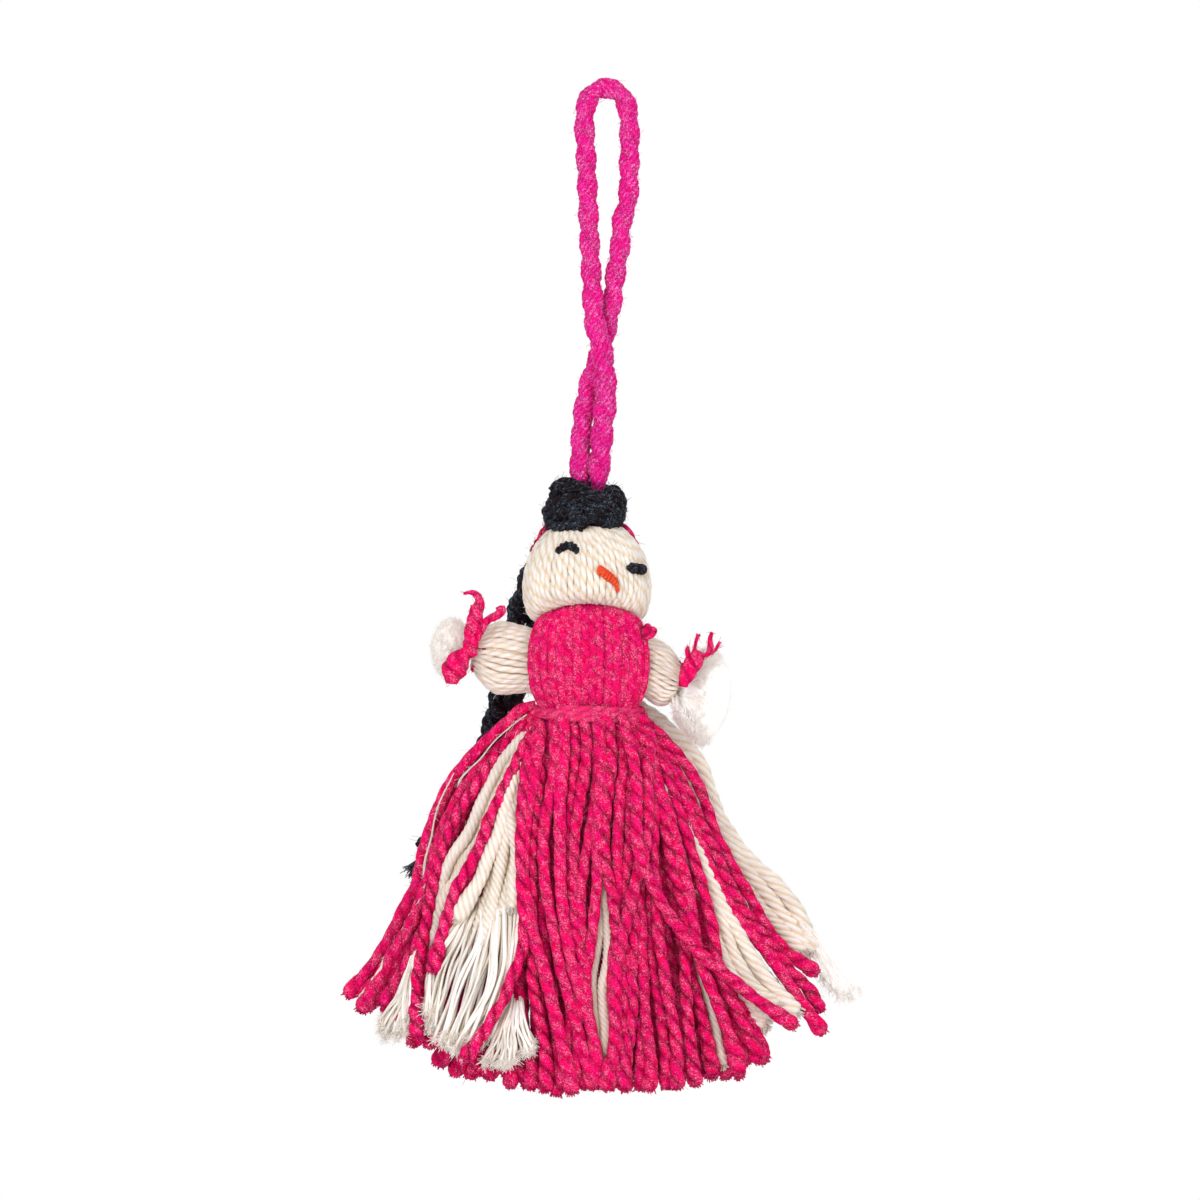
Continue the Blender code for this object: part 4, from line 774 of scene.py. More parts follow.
def make_waist(look):
    """The yarn wound round the waist and knotted behind."""
    belt = Yarn()
    half_x, half_y = WAIST_WIDTH / 2 + YARN / 2 + 0.0011, WAIST_DEPTH / 2 + YARN / 2 + 0.0011
    route = []
    for a in np.linspace(0, TAU * BELT_TURNS, 90):
        rise = (a / TAU / BELT_TURNS - 0.5) * 0.0026 + 0.0005 * math.cos(a + 0.8)
        route.append((SKIRT_X + half_x * math.sin(a), half_y * math.cos(a), WAIST_Z + rise))
    route = smooth(route, STEP)
    # Tone 1.1 turns the belt slightly toward the pale colour: a painted highlight
    belt.tube(route, BELT_YARN, 12, 2, 0.0062, 0.14, tone=1.1)
    belt.fuzz(route, BELT_YARN, 420, 0.0012)
    belt.make("waist_yarn", look, "torso", ("waist_belt",))
    tied = Yarn()
    knot(tied, (SKIRT_X, half_y + 0.0022, WAIST_Z), 0.0042, 0.0016, (0, 1, 0))
    tied.make("waist_knot", look, "torso", ("belt_knot",))


def make_neck(look):
    """The yarn that binds the neck, and its knotted end beside the shoulder."""
    bound = Yarn()
    around = np.linspace(0, 0.92 * TAU, 30)
    route = [(HEAD_X + NECK_REACH * math.cos(a), NECK_REACH * math.sin(a), NECK_TIE_Z) for a in around]
    bound.tube(smooth(route, STEP), NECK_YARN, 10, 2, 0.003, 0.2)
    bound.make("neck_yarn", look, "torso", ("neck_tie",))
    tied = Yarn()
    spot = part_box("shoulder_knot")
    middle = (np.array(spot[0]) + np.array(spot[1])) / 2 + (-0.0008, 0, 0.0012)
    knot(tied, middle, 0.004, 0.0018, (1, -1, 0.2))
    tied.make("shoulder_yarn_knot", look, "torso", ("shoulder_knot",))


WRIST = 0.0031
WRIST_LENGTH = 0.003
# Where each arm starts, its length and its slope
ARMS = {
    "left": ((-0.0143, 0, -0.1241), 0.0146, math.pi - math.radians(10)),
    "right": ((0.0072, 0, -0.1231), 0.0102, math.radians(-28)),
}
# Distance along each arm, then how far it reaches up, down, and forward and back
ARM_ROWS = {
    "left": (
        (-0.0042, 0.0048, 0.0048, 0.0022), (0, 0.0064, 0.0066, 0.0046), (0.0026, 0.0068, 0.0074, 0.0049),
        (0.0073, 0.008, 0.0078, 0.0051), (0.0098, 0.0074, 0.0078, 0.0051),
        (0.0122, 0.0056, 0.0064, 0.005), (0.0136, 0.0042, 0.0052, 0.0048),
        (0.0146, 0.0032, 0.0038, 0.0036),
    ),
    "right": (
        (-0.0038, 0.0044, 0.0044, 0.0024), (0, 0.0058, 0.0058, 0.0046), (0.0024, 0.006, 0.0062, 0.0049),
        (0.0046, 0.0059, 0.0064, 0.0051), (0.0068, 0.005, 0.0067, 0.0051),
        (0.0088, 0.0038, 0.0068, 0.005), (0.01, 0.003, 0.006, 0.0048), (0.0108, 0.0022, 0.0046, 0.0036),
    ),
}


def arm_axes(side):
    slope = ARMS[side][2]
    way = np.array((math.cos(slope), 0, math.sin(slope)))
    return way, np.array((-way[2], 0, way[0]))


def make_arm(side, look):
    """A bundle of fine cream strands from inside the bodice to the wrist."""
    place = np.array(ARMS[side][0])
    way, up = arm_axes(side)
    rows = ARM_ROWS[side]
    arm = Yarn()
    table = np.array(rows)
    for k in range(ARM_STRANDS):
        angle = TAU * (k + chance.uniform(-0.2, 0.2)) / ARM_STRANDS
        route, thick = [], []
        for along, high, low, deep in rows:
            thick.append(math.pi * ((high + low) / 2 + deep) / ARM_STRANDS * 0.56)
            less = thick[-1] * 0.7
            reach = (high if math.cos(angle) > 0 else low) - less
            point = place + way * along + up * reach * math.cos(angle)
            route.append(point + np.array((0, (deep - less) * math.sin(angle), 0)))
        route = smooth(route, STEP)
        radii = np.interp((route - place) @ way, table[:, 0], thick)
        turn = 0.0055 * chance.uniform(0.9, 1.2)
        arm.tube(route, radii, 10, 2, turn, 0.26, phase=chance.uniform(0, TAU))
        arm.fuzz(route, radii, 16, 0.0011, FINE)
    rings = []
    for along, high, low, deep in rows:
        ring = []
        for a in np.arange(20) / 20 * TAU:
            reach = (high if math.cos(a) > 0 else low) - 0.0009
            point = place + way * along + up * reach * math.cos(a)
            ring.append(point - np.array((0, (deep - 0.0009) * math.sin(a), 0)))
        rings.append(ring)
    arm.shell(rings)
    arm.make(f"arm_{side}_strands", look, f"arm_{side}", (f"arm_{side}",))


def make_wrap(side, look):
    """The yarn wound round a wrist."""
    place, length, _ = ARMS[side]
    way, up = arm_axes(side)
    wrap = Yarn()
    middle = np.array(place) + way * (length - WRIST_LENGTH / 2)
    route = []
    for a in np.linspace(0, TAU * WRAP_TURNS, 70):
        along = (a / TAU / WRAP_TURNS - 0.5) * 0.0029
        around = up * math.cos(a) + np.array((0, math.sin(a), 0))
        route.append(middle + way * along + around * (WRIST + 0.0006))
    route = smooth(route, 0.0003)
    wrap.tube(route, WRAP_YARN, 10, 2, 0.004, 0.24)
    wrap.fuzz(route, WRAP_YARN, 110, 0.0012)
    wrap.make(f"wrist_yarn_{side}", look, f"arm_{side}", (f"wrist_wrap_{side}",))


# Tails at each wrist in pixels, each point with its half thickness
TAILS = {
    "left": (
        (
            (474, 657, 4), (471, 650, 7), (471, 641, 7.4), (474, 624, 8), (477, 612, 7.4),
            (479.5, 603, 5.8), (477.5, 596, 4.4), (472, 592.5, 2.6), (463.5, 593.5, 1.2),
        ),
        ((475, 626, 4), (473, 614, 4), (473.5, 605, 3)),
        (
            (476, 640, 4), (480, 629, 5), (488, 620, 4.6), (496, 616, 3.4), (501.5, 611.5, 4.4),
            (502.5, 608, 3.6), (496, 609.5, 1.8),
        ),
        (
            (470, 651, 5), (463, 656, 8), (457, 664, 11), (453.5, 672, 12.6), (452, 679, 10),
            (451.5, 684, 5),
        ),
    ),
    "right": (
        ((683, 687, 4), (684, 682, 6.5), (688, 673, 8), (692, 665, 8.6), (697, 657, 8.6), (700, 651, 5)),
        ((693, 656, 2.6), (694.5, 648, 1.5), (696.5, 640, 1.6), (698.5, 634, 2.4)),
        ((702, 658, 1), (709, 652, 2.6), (710.5, 645, 3.2), (710, 639, 2.4), (712, 632, 1.5)),
        ((706, 657, 0.8), (714.5, 651, 1.4), (717.5, 646, 1.5), (720, 641.5, 1.6)),
        ((690, 660, 3), (687.5, 653, 2.6), (688, 646, 1.5)),
    ),
}
TAIL_FRONTS = {"left": -0.0072, "right": -0.0074}


def make_tails(side, look):
    """The wrist yarn's knot and its loose tails, in front of the hand."""
    tails = Yarn()
    for table in TAILS[side]:
        route = smooth([seen(x, y, TAIL_FRONTS[side]) for x, y, _ in table], 0.0003)
        at = np.linspace(0, 1, len(table))
        radii = np.interp(np.linspace(0, 1, len(route)), at, [w * 1.12 * PIXEL for *_, w in table])
        tails.tube(route, radii, 12, 2, 0.006, 0.16, tone=0.8)
        tails.fuzz(route, radii, round(5000 * lengths(route)[-1]) + 8, 0.0009, 0.00008, (0.3, 1.2))
    tails.make(f"tied_tails_{side}", look, f"arm_{side}", (f"wrist_knot_{side}",))


def tuft_core(shape, middle, half, lean=0.0, bumps=0.03, tone=1.7):
    """The solid heart of a tuft."""
    rings = []
    for share in np.linspace(0.04, 0.96, 16):
        high, wide = -math.cos(share * math.pi), math.sin(share * math.pi)
        ring = []
        for a in np.arange(32) / 32 * TAU:
            swell = 1 + chance.normal(0, bumps)
            x = half[0] * wide * math.cos(a) * swell
            y = half[1] * wide * math.sin(a) * swell
            z = half[2] * high
            across = x * math.cos(lean) + z * math.sin(lean)
            up = z * math.cos(lean) - x * math.sin(lean)
            ring.append((middle[0] + across, middle[1] + y, middle[2] + up))
        rings.append(ring)
    shape.shell(rings, tone)


def make_left_hand(look):
    """A round tuft of unspun fibres beyond the left wrist."""
    hand = Yarn()
    low, high = (np.array(c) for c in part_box("hand_left"))
    middle, half = (low + high) / 2, (high - low) / 2
    tuft_core(hand, middle, half * 0.97, 0.0, 0.012, 1.9)
    count = 5200
    way, _ = arm_axes("left")
    out = unit(chance.normal(0, 1, (count, 3)))
    out = out[(out @ way) > -0.8]
    starts = middle + out * half * 0.94
    ways = out * 0.8 + unit(np.cross(out, chance.normal(0, 1, out.shape)))
    hand.hairs(starts, ways, chance.uniform(0.5, 1.1, len(out)) * 0.0011, 0.00009, 0.5, 4, (1.5, 2.0))
    hand.make("hand_left_tuft", look, "arm_left", ("hand_left",))


def make_right_hand(look):
    """A brush of combed-out fibres that fans from the right wrist to a rounded cut edge."""
    hand = Yarn()
    low, high = (np.array(c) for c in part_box("hand_right"))
    middle, half = (low + high) / 2, (high - low) / 2
    core = (half[0] * 0.88, half[1] * 0.84, half[2] * 0.93)
    tuft_core(hand, middle + (0.0002, 0, 0.0002), core, math.radians(8), 0.012, 1.9)
    wrist = seen(671, 690, 0.0)
    rim = (
        ((698, 652), (708, 649), (717, 654), (723, 665), (726, 680), (726, 698))
        + ((721, 716), (713, 732), (705, 744), (695, 741), (684, 730), (675, 716))
    )
    edge = smooth([seen(x, y) for x, y in rim], 0.0001)
    count = 4200
    ends = edge[chance.integers(0, len(edge), count)]
    depth = chance.uniform(-1, 1, count)
    ends = ends + chance.normal(0, 0.00022, ends.shape)
    inset = np.sqrt(1 - 0.75 * depth**2)[:, None]
    ends = wrist + (ends - wrist) * inset
    ends[:, 1] = depth * half[1] * 0.96
    starts = wrist + (ends - wrist) * chance.uniform(0.12, 0.7, (count, 1))
    starts = starts + chance.normal(0, 0.0004, ends.shape)
    t = np.linspace(0, 1, 7)[None, :, None]
    sag = chance.normal(0, 0.0004, (count, 1, 3)) + np.array((0.0004, 0, 0.0005))
    routes = starts[:, None] * (1 - t) + ends[:, None] * t + sag * (4 * t * (1 - t))
    hand.threads(routes, 0.00013, (1.6, 2.0))
    ways = (ends - middle) + chance.normal(0, 0.003, ends.shape)
    hand.hairs(ends, ways, chance.uniform(0.4, 1.1, count) * 0.0009, 0.00008, 0.7, 4, (1.3, 2.0))
    hand.make("hand_right_tuft", look, "arm_right", ("hand_right",))


# How far behind the middle the strands of the back lie at least, and how much more below the waist
BACK_LEAST = 0.0036
BACK_MORE = 0.0028
# How much deeper the loose yarns start, so that their starts are hidden
STARTS_SUNK = 0.0042


def flares(t):
    table = SKIRT_FLARE_SHARES
    return (np.interp(t, table[:, 0], table[:, k]) for k in (1, 2, 3))


def skirt_point(angle, t, reach=1.0, lift=0.0):
    """A point on the skirt, from the angle round it and the way down it."""
    c, s = math.cos(angle), math.sin(angle)
    left, right, front = flares(t)
    out = (left if c < 0 else right) * c * c + front * s * s
    side = SKIRT_LEFT if c < 0 else SKIRT_RIGHT
    half_width = WAIST_WIDTH / 2 + (side - WAIST_WIDTH / 2) * out * reach + lift
    half_depth = WAIST_DEPTH / 2 + (SKIRT_DEPTH - WAIST_DEPTH / 2) * out * reach + lift
    drop = SKIRT_SIDE_DROP + (SKIRT_FRONT_DROP - SKIRT_SIDE_DROP) * abs(s)
    return np.array((SKIRT_X + half_width * c, -half_depth * s, WAIST_Z - GAP - drop * t))


def on_skirt(px, py, lift=0.0, side=-1):
    """A point on the skirt's front, or its back, from its place in the photograph."""
    y, s = 0.0, 0.7
    for _ in range(24):
        x, _, z = seen(px, py, y)
        drop = SKIRT_SIDE_DROP + (SKIRT_FRONT_DROP - SKIRT_SIDE_DROP) * s
        t = max(0.0, (WAIST_Z - GAP - z) / drop)
        left, right, front = flares(t)
        out = (left if x < SKIRT_X else right) * (1 - s * s) + front * s * s
        wide = SKIRT_LEFT if x < SKIRT_X else SKIRT_RIGHT
        half_width = WAIST_WIDTH / 2 + (wide - WAIST_WIDTH / 2) * out
        c = min(1.0, abs(x - SKIRT_X) / half_width)
        s = 0.6 * s + 0.4 * math.sqrt(1 - c * c)
        half_depth = WAIST_DEPTH / 2 + (SKIRT_DEPTH - WAIST_DEPTH / 2) * out
        y = side * (half_depth * s + lift)
        if side > 0:
            y = max(y, BACK_LEAST + 0.4 * lift + BACK_MORE * min(max((py - 705) / 25, 0), 1))
    return seen(px, py, y)


def strand(
    shape, route, radius, plies=2, turn=0.0086, dip=0.2, ends=60, long=0.0003, spread=0.2,
    tone=None, begin=1.0,
):
    """One strand of the skirt, thinner at the waist and brushed out where it is cut."""
    route = smooth(route, 0.0005)
    along = lengths(route)
    ease = np.clip(along / 0.02, 0, 1)
    for size, way in ((0.00026, (1, 0.5, 0)), (0.00016, (0.6, -1, 0))):
        wave = np.sin(np.linspace(0, chance.uniform(6, 15), len(route)) + chance.uniform(0, TAU))
        route = route + (wave * ease * size)[:, None] * np.array(way)
    taper = np.interp(along, (0, 0.012, 0.034), (begin, 0.3 + 0.7 * begin, 1))
    last = along[-1]
    flare = np.interp(along, (last - 0.009, last - 0.0016, last - 0.0006, last), (1, 1.34, 1.26, 0.8))
    swell = 1 + 0.05 * np.sin(along * chance.uniform(500, 900) + chance.uniform(0, TAU))
    radii = radius * taper * flare * swell * chance.uniform(0.94, 1.08)
    turn = turn * chance.uniform(0.85, 1.2)
    dip = dip * chance.uniform(0.6, 1.2)
    shape.tube(route, radii, 12 if plies < 3 else 20, plies, turn, dip, tone, chance.uniform(0, TAU))
    shape.fuzz(route, radii, round(3000 * last), 0.0011, FINE)
    shape.frayed(route, radii[-1], ends, long, spread, 0.0003, (0.0, 1.2))


# Strands by node: how far it stands off, its half thickness in pixels, then x and y of its places
# in pixels, from the waist down
PINK = {
    "skirt_left_4": (
        (
            0.0012, 6.4, 536, 706, 522, 709, 510, 720, 488, 740, 468, 762, 451, 783, 440, 806, 431, 826,
            424, 847, 419, 868, 414, 888, 405, 905, 395, 926, 383, 950, 370, 970, 357, 985, 348, 996,
        ),
        (
            -0.0012, 5.8, 536, 709, 518, 720, 497, 739, 476, 763, 458, 786, 445, 812, 437, 839, 431, 867,
            425, 893, 418, 917, 406, 943, 393, 964, 377, 982, 359, 993,
        ),
    ),
    "skirt_left_3": (
        (
            0.001, 6.6, 536, 713, 522, 725, 508, 739, 489, 758, 472, 776, 458, 797, 448, 818, 440, 841,
            435, 862, 427, 883, 420, 904, 412, 925, 401, 943, 390, 961, 378, 982, 368, 998, 361, 1011,
        ),
        (
            -0.0006, 5.8, 536, 721, 518, 737, 500, 758, 484, 776, 471, 797, 461, 815, 452, 836, 445, 857,
            438, 883, 432, 906, 423, 927, 414, 948, 404, 969, 394, 988, 385, 1006,
        ),
    ),
    "skirt_left_2": (
        (
            0.003, 6.6, 536, 729, 522, 750, 514, 768, 505, 784, 497, 802, 489, 818, 484, 836, 477, 854,
            469, 870, 458, 888, 452, 904, 446, 920, 441, 935, 436, 952, 431, 972,
        ),
        (
            0.0018, 6.0, 536, 724, 513, 739, 492, 761, 476, 784, 461, 807, 449, 831, 441, 857, 435, 883,
            430, 906, 426, 927, 422, 948, 418, 969, 415, 990, 415, 1011, 416, 1037,
        ),
        (-0.0042, 6.0, 536, 731, 497, 805, 476, 870, 458, 917, 449, 946, 442, 977, 437, 1014),
    ),
    "skirt_left_1": (
        (
            0.003, 6.6, 535, 737, 527, 763, 524, 789, 522, 818, 520, 846, 520, 878, 522, 906, 524, 930,
            523, 951, 517, 969, 510, 985, 506, 998, 497, 1011, 488, 1025, 478, 1040, 463, 1058,
        ),
        (-0.0046, 6.4, 536, 737, 518, 831, 500, 935, 487, 1014, 472, 1075),
        (-0.005, 6.4, 538, 737, 523, 857, 510, 961, 493, 1040, 485, 1076),
        (-0.0044, 6.4, 539, 737, 527, 883, 518, 988, 512, 1053, 510, 1087),
    ),
    "skirt_front_8": (
        (
            0.0022, 6.6, 542, 716, 539, 741, 532, 783, 526, 811, 524, 845, 525, 881, 530, 914, 534, 940,
            542, 966, 548, 992, 556, 1020, 563, 1046, 569, 1070, 573, 1093,
        ),
        (
            0.0004, 6.4, 545, 716, 539, 778, 533, 845, 532, 896, 532, 933, 533, 961, 534, 987, 539, 1015,
            544, 1044, 546, 1067, 545, 1091,
        ),
        (-0.0026, 6.2, 541, 716, 533, 803, 528, 881, 523, 945, 520, 997, 525, 1036, 530, 1062, 532, 1088),
    ),
    "skirt_front_7": (
        (
            0.0016, 6.2, 555, 716, 556, 744, 554, 772, 548, 809, 545, 834, 545, 860, 546, 886, 550, 914,
            554, 940, 559, 966, 568, 995, 576, 1020, 583, 1046, 590, 1072, 594, 1088,
        ),
        (
            -0.0016, 6.4, 551, 716, 546, 778, 539, 842, 538, 894, 542, 938, 547, 974, 554, 1010, 557,
            1044, 559, 1075, 557, 1095,
        ),
    ),
    "skirt_front_6": (
        (
            0.002, 6.2, 564, 716, 564, 736, 563, 765, 560, 798, 559, 829, 559, 860, 560, 886, 564, 917,
            569, 943, 574, 969, 582, 995, 590, 1026, 595, 1054, 596, 1080,
        ),
        (
            0.0, 6.2, 573, 716, 576, 741, 575, 767, 573, 790, 569, 821, 567, 855, 568, 891, 573, 922, 579,
            948, 585, 979, 588, 1015, 586, 1054, 582, 1088,
        ),
    ),
    "skirt_front_5": (
        (
            0.0012, 6.0, 583, 716, 587, 741, 585, 772, 581, 803, 576, 834, 573, 865, 572, 891, 573, 917,
            577, 938, 582, 961, 578, 1005, 576, 1049, 573, 1088,
        ),
        (
            0.0006, 6.2, 595, 716, 596, 736, 598, 765, 597, 788, 594, 811, 590, 840, 585, 865, 581, 891,
            580, 912, 581, 938, 576, 984, 569, 1036, 565, 1088,
        ),
        (
            0.0018, 6.2, 598, 716, 601, 778, 599, 824, 598, 855, 598, 881, 595, 907, 592, 933, 588, 958,
            585, 979, 587, 1005, 591, 1031, 595, 1057, 595, 1088,
        ),
    ),
    "skirt_front_4": (
        (
            0.0016, 6.4, 607, 716, 610, 739, 610, 762, 608, 783, 604, 809, 603, 834, 604, 860, 609, 881,
            614, 899, 616, 920, 619, 945, 622, 984, 621, 1023, 617, 1057, 609, 1088,
        ),
        (
            0.0006, 6.0, 616, 716, 621, 741, 623, 767, 619, 788, 618, 809, 617, 834, 617, 860, 619, 883,
            620, 907, 619, 933, 614, 964, 613, 997, 614, 1031, 610, 1062, 603, 1085,
        ),
    ),
    "skirt_front_3": (
        (
            0.0006, 6.2, 629, 716, 636, 739, 634, 759, 631, 783, 630, 803, 629, 829, 628, 852, 625, 881,
            623, 912, 625, 943, 629, 974, 631, 1005, 629, 1036, 625, 1062, 622, 1088,
        ),
        (
            0.003, 6.6, 638, 716, 649, 739, 648, 767, 648, 798, 647, 824, 643, 850, 638, 871, 632, 891,
            628, 912, 623, 933, 619, 953, 617, 974, 616, 1000, 616, 1026, 615, 1051, 609, 1070, 607, 1089,
        ),
    ),
    "skirt_front_2": (
        (
            0.0012, 6.0, 626, 716, 635, 765, 639, 816, 641, 860, 639, 891, 636, 917, 633, 943, 631, 974,
            632, 1005, 627, 1033, 623, 1062, 623, 1088,
        ),
        (
            0.0006, 6.2, 634, 716, 641, 767, 642, 816, 639, 860, 638, 896, 640, 927, 640, 953, 643, 979,
            645, 1005, 649, 1036, 652, 1062, 649, 1090,
        ),
        (
            -0.0012, 6.2, 631, 716, 636, 778, 638, 842, 635, 902, 632, 948, 634, 979, 636, 1005, 639,
            1036, 641, 1062, 641, 1089,
        ),
    ),
    "skirt_front_1": (
        (
            0.001, 6.3, 627, 716, 643, 752, 654, 786, 662, 815, 669, 844, 675, 870, 681, 896, 685, 922,
            685, 948, 685, 977, 688, 1003, 691, 1040, 695, 1085,
        ),
        (
            0.0014, 6.2, 641, 716, 653, 778, 654, 834, 654, 865, 657, 902, 657, 933, 661, 958, 665, 984,
            672, 1015, 678, 1046, 679, 1088,
        ),
        (
            -0.0008, 6.2, 639, 716, 649, 778, 650, 845, 649, 896, 649, 933, 650, 958, 654, 984, 660, 1010,
            663, 1036, 667, 1062, 667, 1088,
        ),
    ),
    "skirt_right_4": (
        (
            0.0018, 6.3, 631, 716, 648, 752, 658, 786, 668, 812, 675, 838, 683, 867, 690, 896, 694, 925,
            698, 951, 707, 977, 716, 1000, 725, 1024, 734, 1048, 739, 1072,
        ),
        (
            0.0012, 6.2, 632, 716, 656, 755, 668, 778, 677, 805, 685, 831, 692, 857, 700, 883, 708, 909,
            715, 935, 719, 961, 726, 987, 737, 1011, 747, 1034, 758, 1062,
        ),
        (
            -0.0016, 6.2, 630, 716, 651, 773, 664, 825, 673, 878, 681, 930, 690, 974, 699, 1008, 708,
            1040, 715, 1074,
        ),
    ),
    "skirt_right_3": (
        (
            0.0044, 6.6, 622, 716, 634, 765, 637, 805, 637, 836, 642, 859, 651, 880, 662, 903, 674, 922,
            688, 940, 702, 956, 717, 968, 733, 980, 749, 993, 764, 1004, 780, 1015, 796, 1026,
        ),
        (-0.003, 6.0, 632, 716, 658, 778, 679, 841, 695, 899, 708, 951, 721, 1003, 730, 1048, 733, 1074),
    ),
    "skirt_right_2": (
        (
            -0.0004, 6.3, 634, 716, 656, 751, 670, 774, 682, 798, 692, 822, 702, 845, 712, 869, 724, 892,
            737, 916, 752, 936, 768, 956, 783, 977, 797, 998, 811, 1016, 824, 1033,
        ),
        (
            -0.0034, 6.0, 634, 716, 661, 768, 679, 810, 695, 854, 708, 899, 720, 943, 734, 982, 750, 1019,
            763, 1058,
        ),
    ),
    "skirt_right_1": (
        (
            0.0006, 6.4, 634, 714, 658, 733, 675, 751, 690, 769, 702, 790, 709, 812, 716, 836, 726, 857,
            737, 878, 749, 897, 760, 917, 772, 934, 786, 950, 801, 961, 818, 973,
        ),
        (
            0.0012, 6.3, 634, 716, 658, 743, 674, 765, 686, 789, 696, 812, 705, 833, 715, 854, 725, 878,
            737, 901, 751, 922, 766, 940, 780, 957, 794, 974, 810, 990, 822, 1011,
        ),
    ),
}
# Cream strands: as above, with the side that they lie on and the length of a turn of their plies
# before the places
CREAM = {
    "underskirt_back_2": (
        (
            0.0014, 8.0, 1, 0.013, 634, 705, 652, 715, 668, 729, 684, 744, 698, 763, 707, 789, 716, 814,
            729, 835, 743, 853, 757, 867, 774, 881, 789, 897, 800, 914, 806, 930, 812, 952,
        ),
        (
            0.0004, 8.0, 1, 0.013, 634, 710, 658, 724, 672, 742, 689, 765, 701, 788, 711, 814, 725, 839,
            740, 861, 755, 880, 768, 895, 782, 912, 794, 928, 806, 950,
        ),
    ),
    "underskirt_back_1": (
        (
            -0.0012, 7.4, 1, 0.012, 634, 713, 658, 734, 684, 768, 702, 810, 718, 846, 737, 874, 753, 895,
            768, 914, 784, 932, 800, 952,
        ),
        (
            -0.003, 7.0, 1, 0.012, 634, 716, 660, 744, 683, 784, 700, 825, 717, 862, 735, 893, 754, 919,
            773, 940, 792, 960,
        ),
    ),
    "underskirt_right_1": (
        (
            -0.0012, 7.2, -1, 0.012, 634, 716, 664, 791, 685, 831, 700, 858, 712, 885, 724, 910, 738, 935,
            751, 957, 765, 978, 780, 997, 796, 1013,
        ),
        (
            -0.0018, 7.0, -1, 0.012, 634, 716, 660, 791, 681, 831, 697, 855, 706, 880, 716, 905, 725, 930,
            735, 955, 746, 975, 760, 993, 776, 1006,
        ),
    ),
    "underskirt_right_2": (
        (
            -0.0024, 7.0, -1, 0.011, 634, 716, 664, 805, 686, 850, 695, 870, 702, 895, 710, 920, 718, 942,
            728, 965, 740, 987, 752, 1005, 764, 1022,
        ),
        (
            -0.0034, 4.6, -1, 0.009, 632, 716, 658, 818, 679, 896, 695, 956, 701, 985, 711, 1014, 718,
            1048, 724, 1066,
        ),
        (
            -0.0036, 7.0, -1, 0.011, 634, 716, 666, 810, 692, 883, 716, 940, 730, 978, 742, 1000, 753,
            1018, 762, 1030,
        ),
        (-0.0044, 8.0, -1, 0.011, 634, 716, 668, 800, 694, 850, 716, 895, 738, 942, 756, 970, 776, 996),
    ),
    "underskirt_front_1": (
        (
            -0.0006, 5.6, -1, 0.008, 600, 716, 601, 803, 604, 881, 607, 920, 608, 945, 605, 969, 601, 989,
            602, 1010, 604, 1033, 601, 1058,
        ),
        (
            -0.0016, 5.2, -1, 0.008, 598, 716, 599, 803, 601, 881, 602, 920, 599, 940, 595, 964, 592, 982,
            593, 1005, 595, 1033, 598, 1060,
        ),
        (-0.0026, 5.2, -1, 0.008, 599, 716, 604, 881, 607, 933, 609, 971, 608, 1010, 605, 1044),
    ),
    "underskirt_left_4": (
        (
            -0.0006, 6.8, -1, 0.009, 536, 725, 518, 744, 503, 761, 493, 777, 484, 795, 476, 815, 467, 836,
            455, 854, 447, 871, 442, 887, 438, 904, 434, 922, 431, 943,
        ),
        (
            -0.0012, 6.8, -1, 0.009, 536, 729, 520, 754, 511, 771, 502, 789, 494, 807, 486, 825, 478, 842,
            469, 858, 459, 878, 449, 893, 442, 908, 436, 925,
        ),
        (
            -0.003, 6.6, -1, 0.009, 536, 726, 513, 760, 497, 786, 487, 812, 476, 833, 463, 857, 452, 878,
            445, 893, 436, 917,
        ),
    ),
    "underskirt_left_2": (
        (
            0.0012, 6.8, -1, 0.008, 536, 731, 525, 744, 516, 768, 510, 790, 510, 812, 513, 833, 515, 854,
            516, 873, 516, 891, 515, 909,
        ),
        (
            0.0016, 6.8, -1, 0.008, 536, 731, 524, 752, 513, 786, 503, 815, 496, 836, 488, 857, 482, 878,
            472, 895, 463, 908, 455, 919,
        ),
        (
            0.0006, 6.6, -1, 0.008, 536, 731, 525, 758, 514, 805, 506, 836, 500, 862, 497, 883, 493, 904,
            489, 925, 486, 943,
        ),
        (
            -0.0012, 6.6, -1, 0.008, 536, 731, 526, 752, 519, 778, 512, 810, 501, 846, 493, 878, 487, 909,
            479, 935,
        ),
    ),
    "underskirt_left_1": (
        (
            -0.0006, 6.0, -1, 0.008, 536, 731, 527, 750, 524, 773, 521, 799, 519, 825, 517, 852, 510, 883,
            506, 914,
        ),
        (
            -0.0022, 6.6, -1, 0.008, 536, 731, 527, 758, 522, 789, 517, 825, 510, 862, 503, 899, 497, 930,
            492, 961,
        ),
    ),
}
# Thin threads that lie over the others, in the same order as the pink strands
THIN = {
    "underskirt_left_4": (
        (0.003, 1.4, 527, 714, 510, 727, 497, 739, 482, 756, 470, 769, 462, 780, 458, 791),
        (0.003, 2.0, 454, 773, 442, 797, 435, 818, 431, 836, 427, 854, 425, 870, 424, 886),
        (0.003, 2.6, 420, 899, 402, 930, 395, 943, 386, 955, 381, 969, 371, 982, 359, 998),
    ),
}
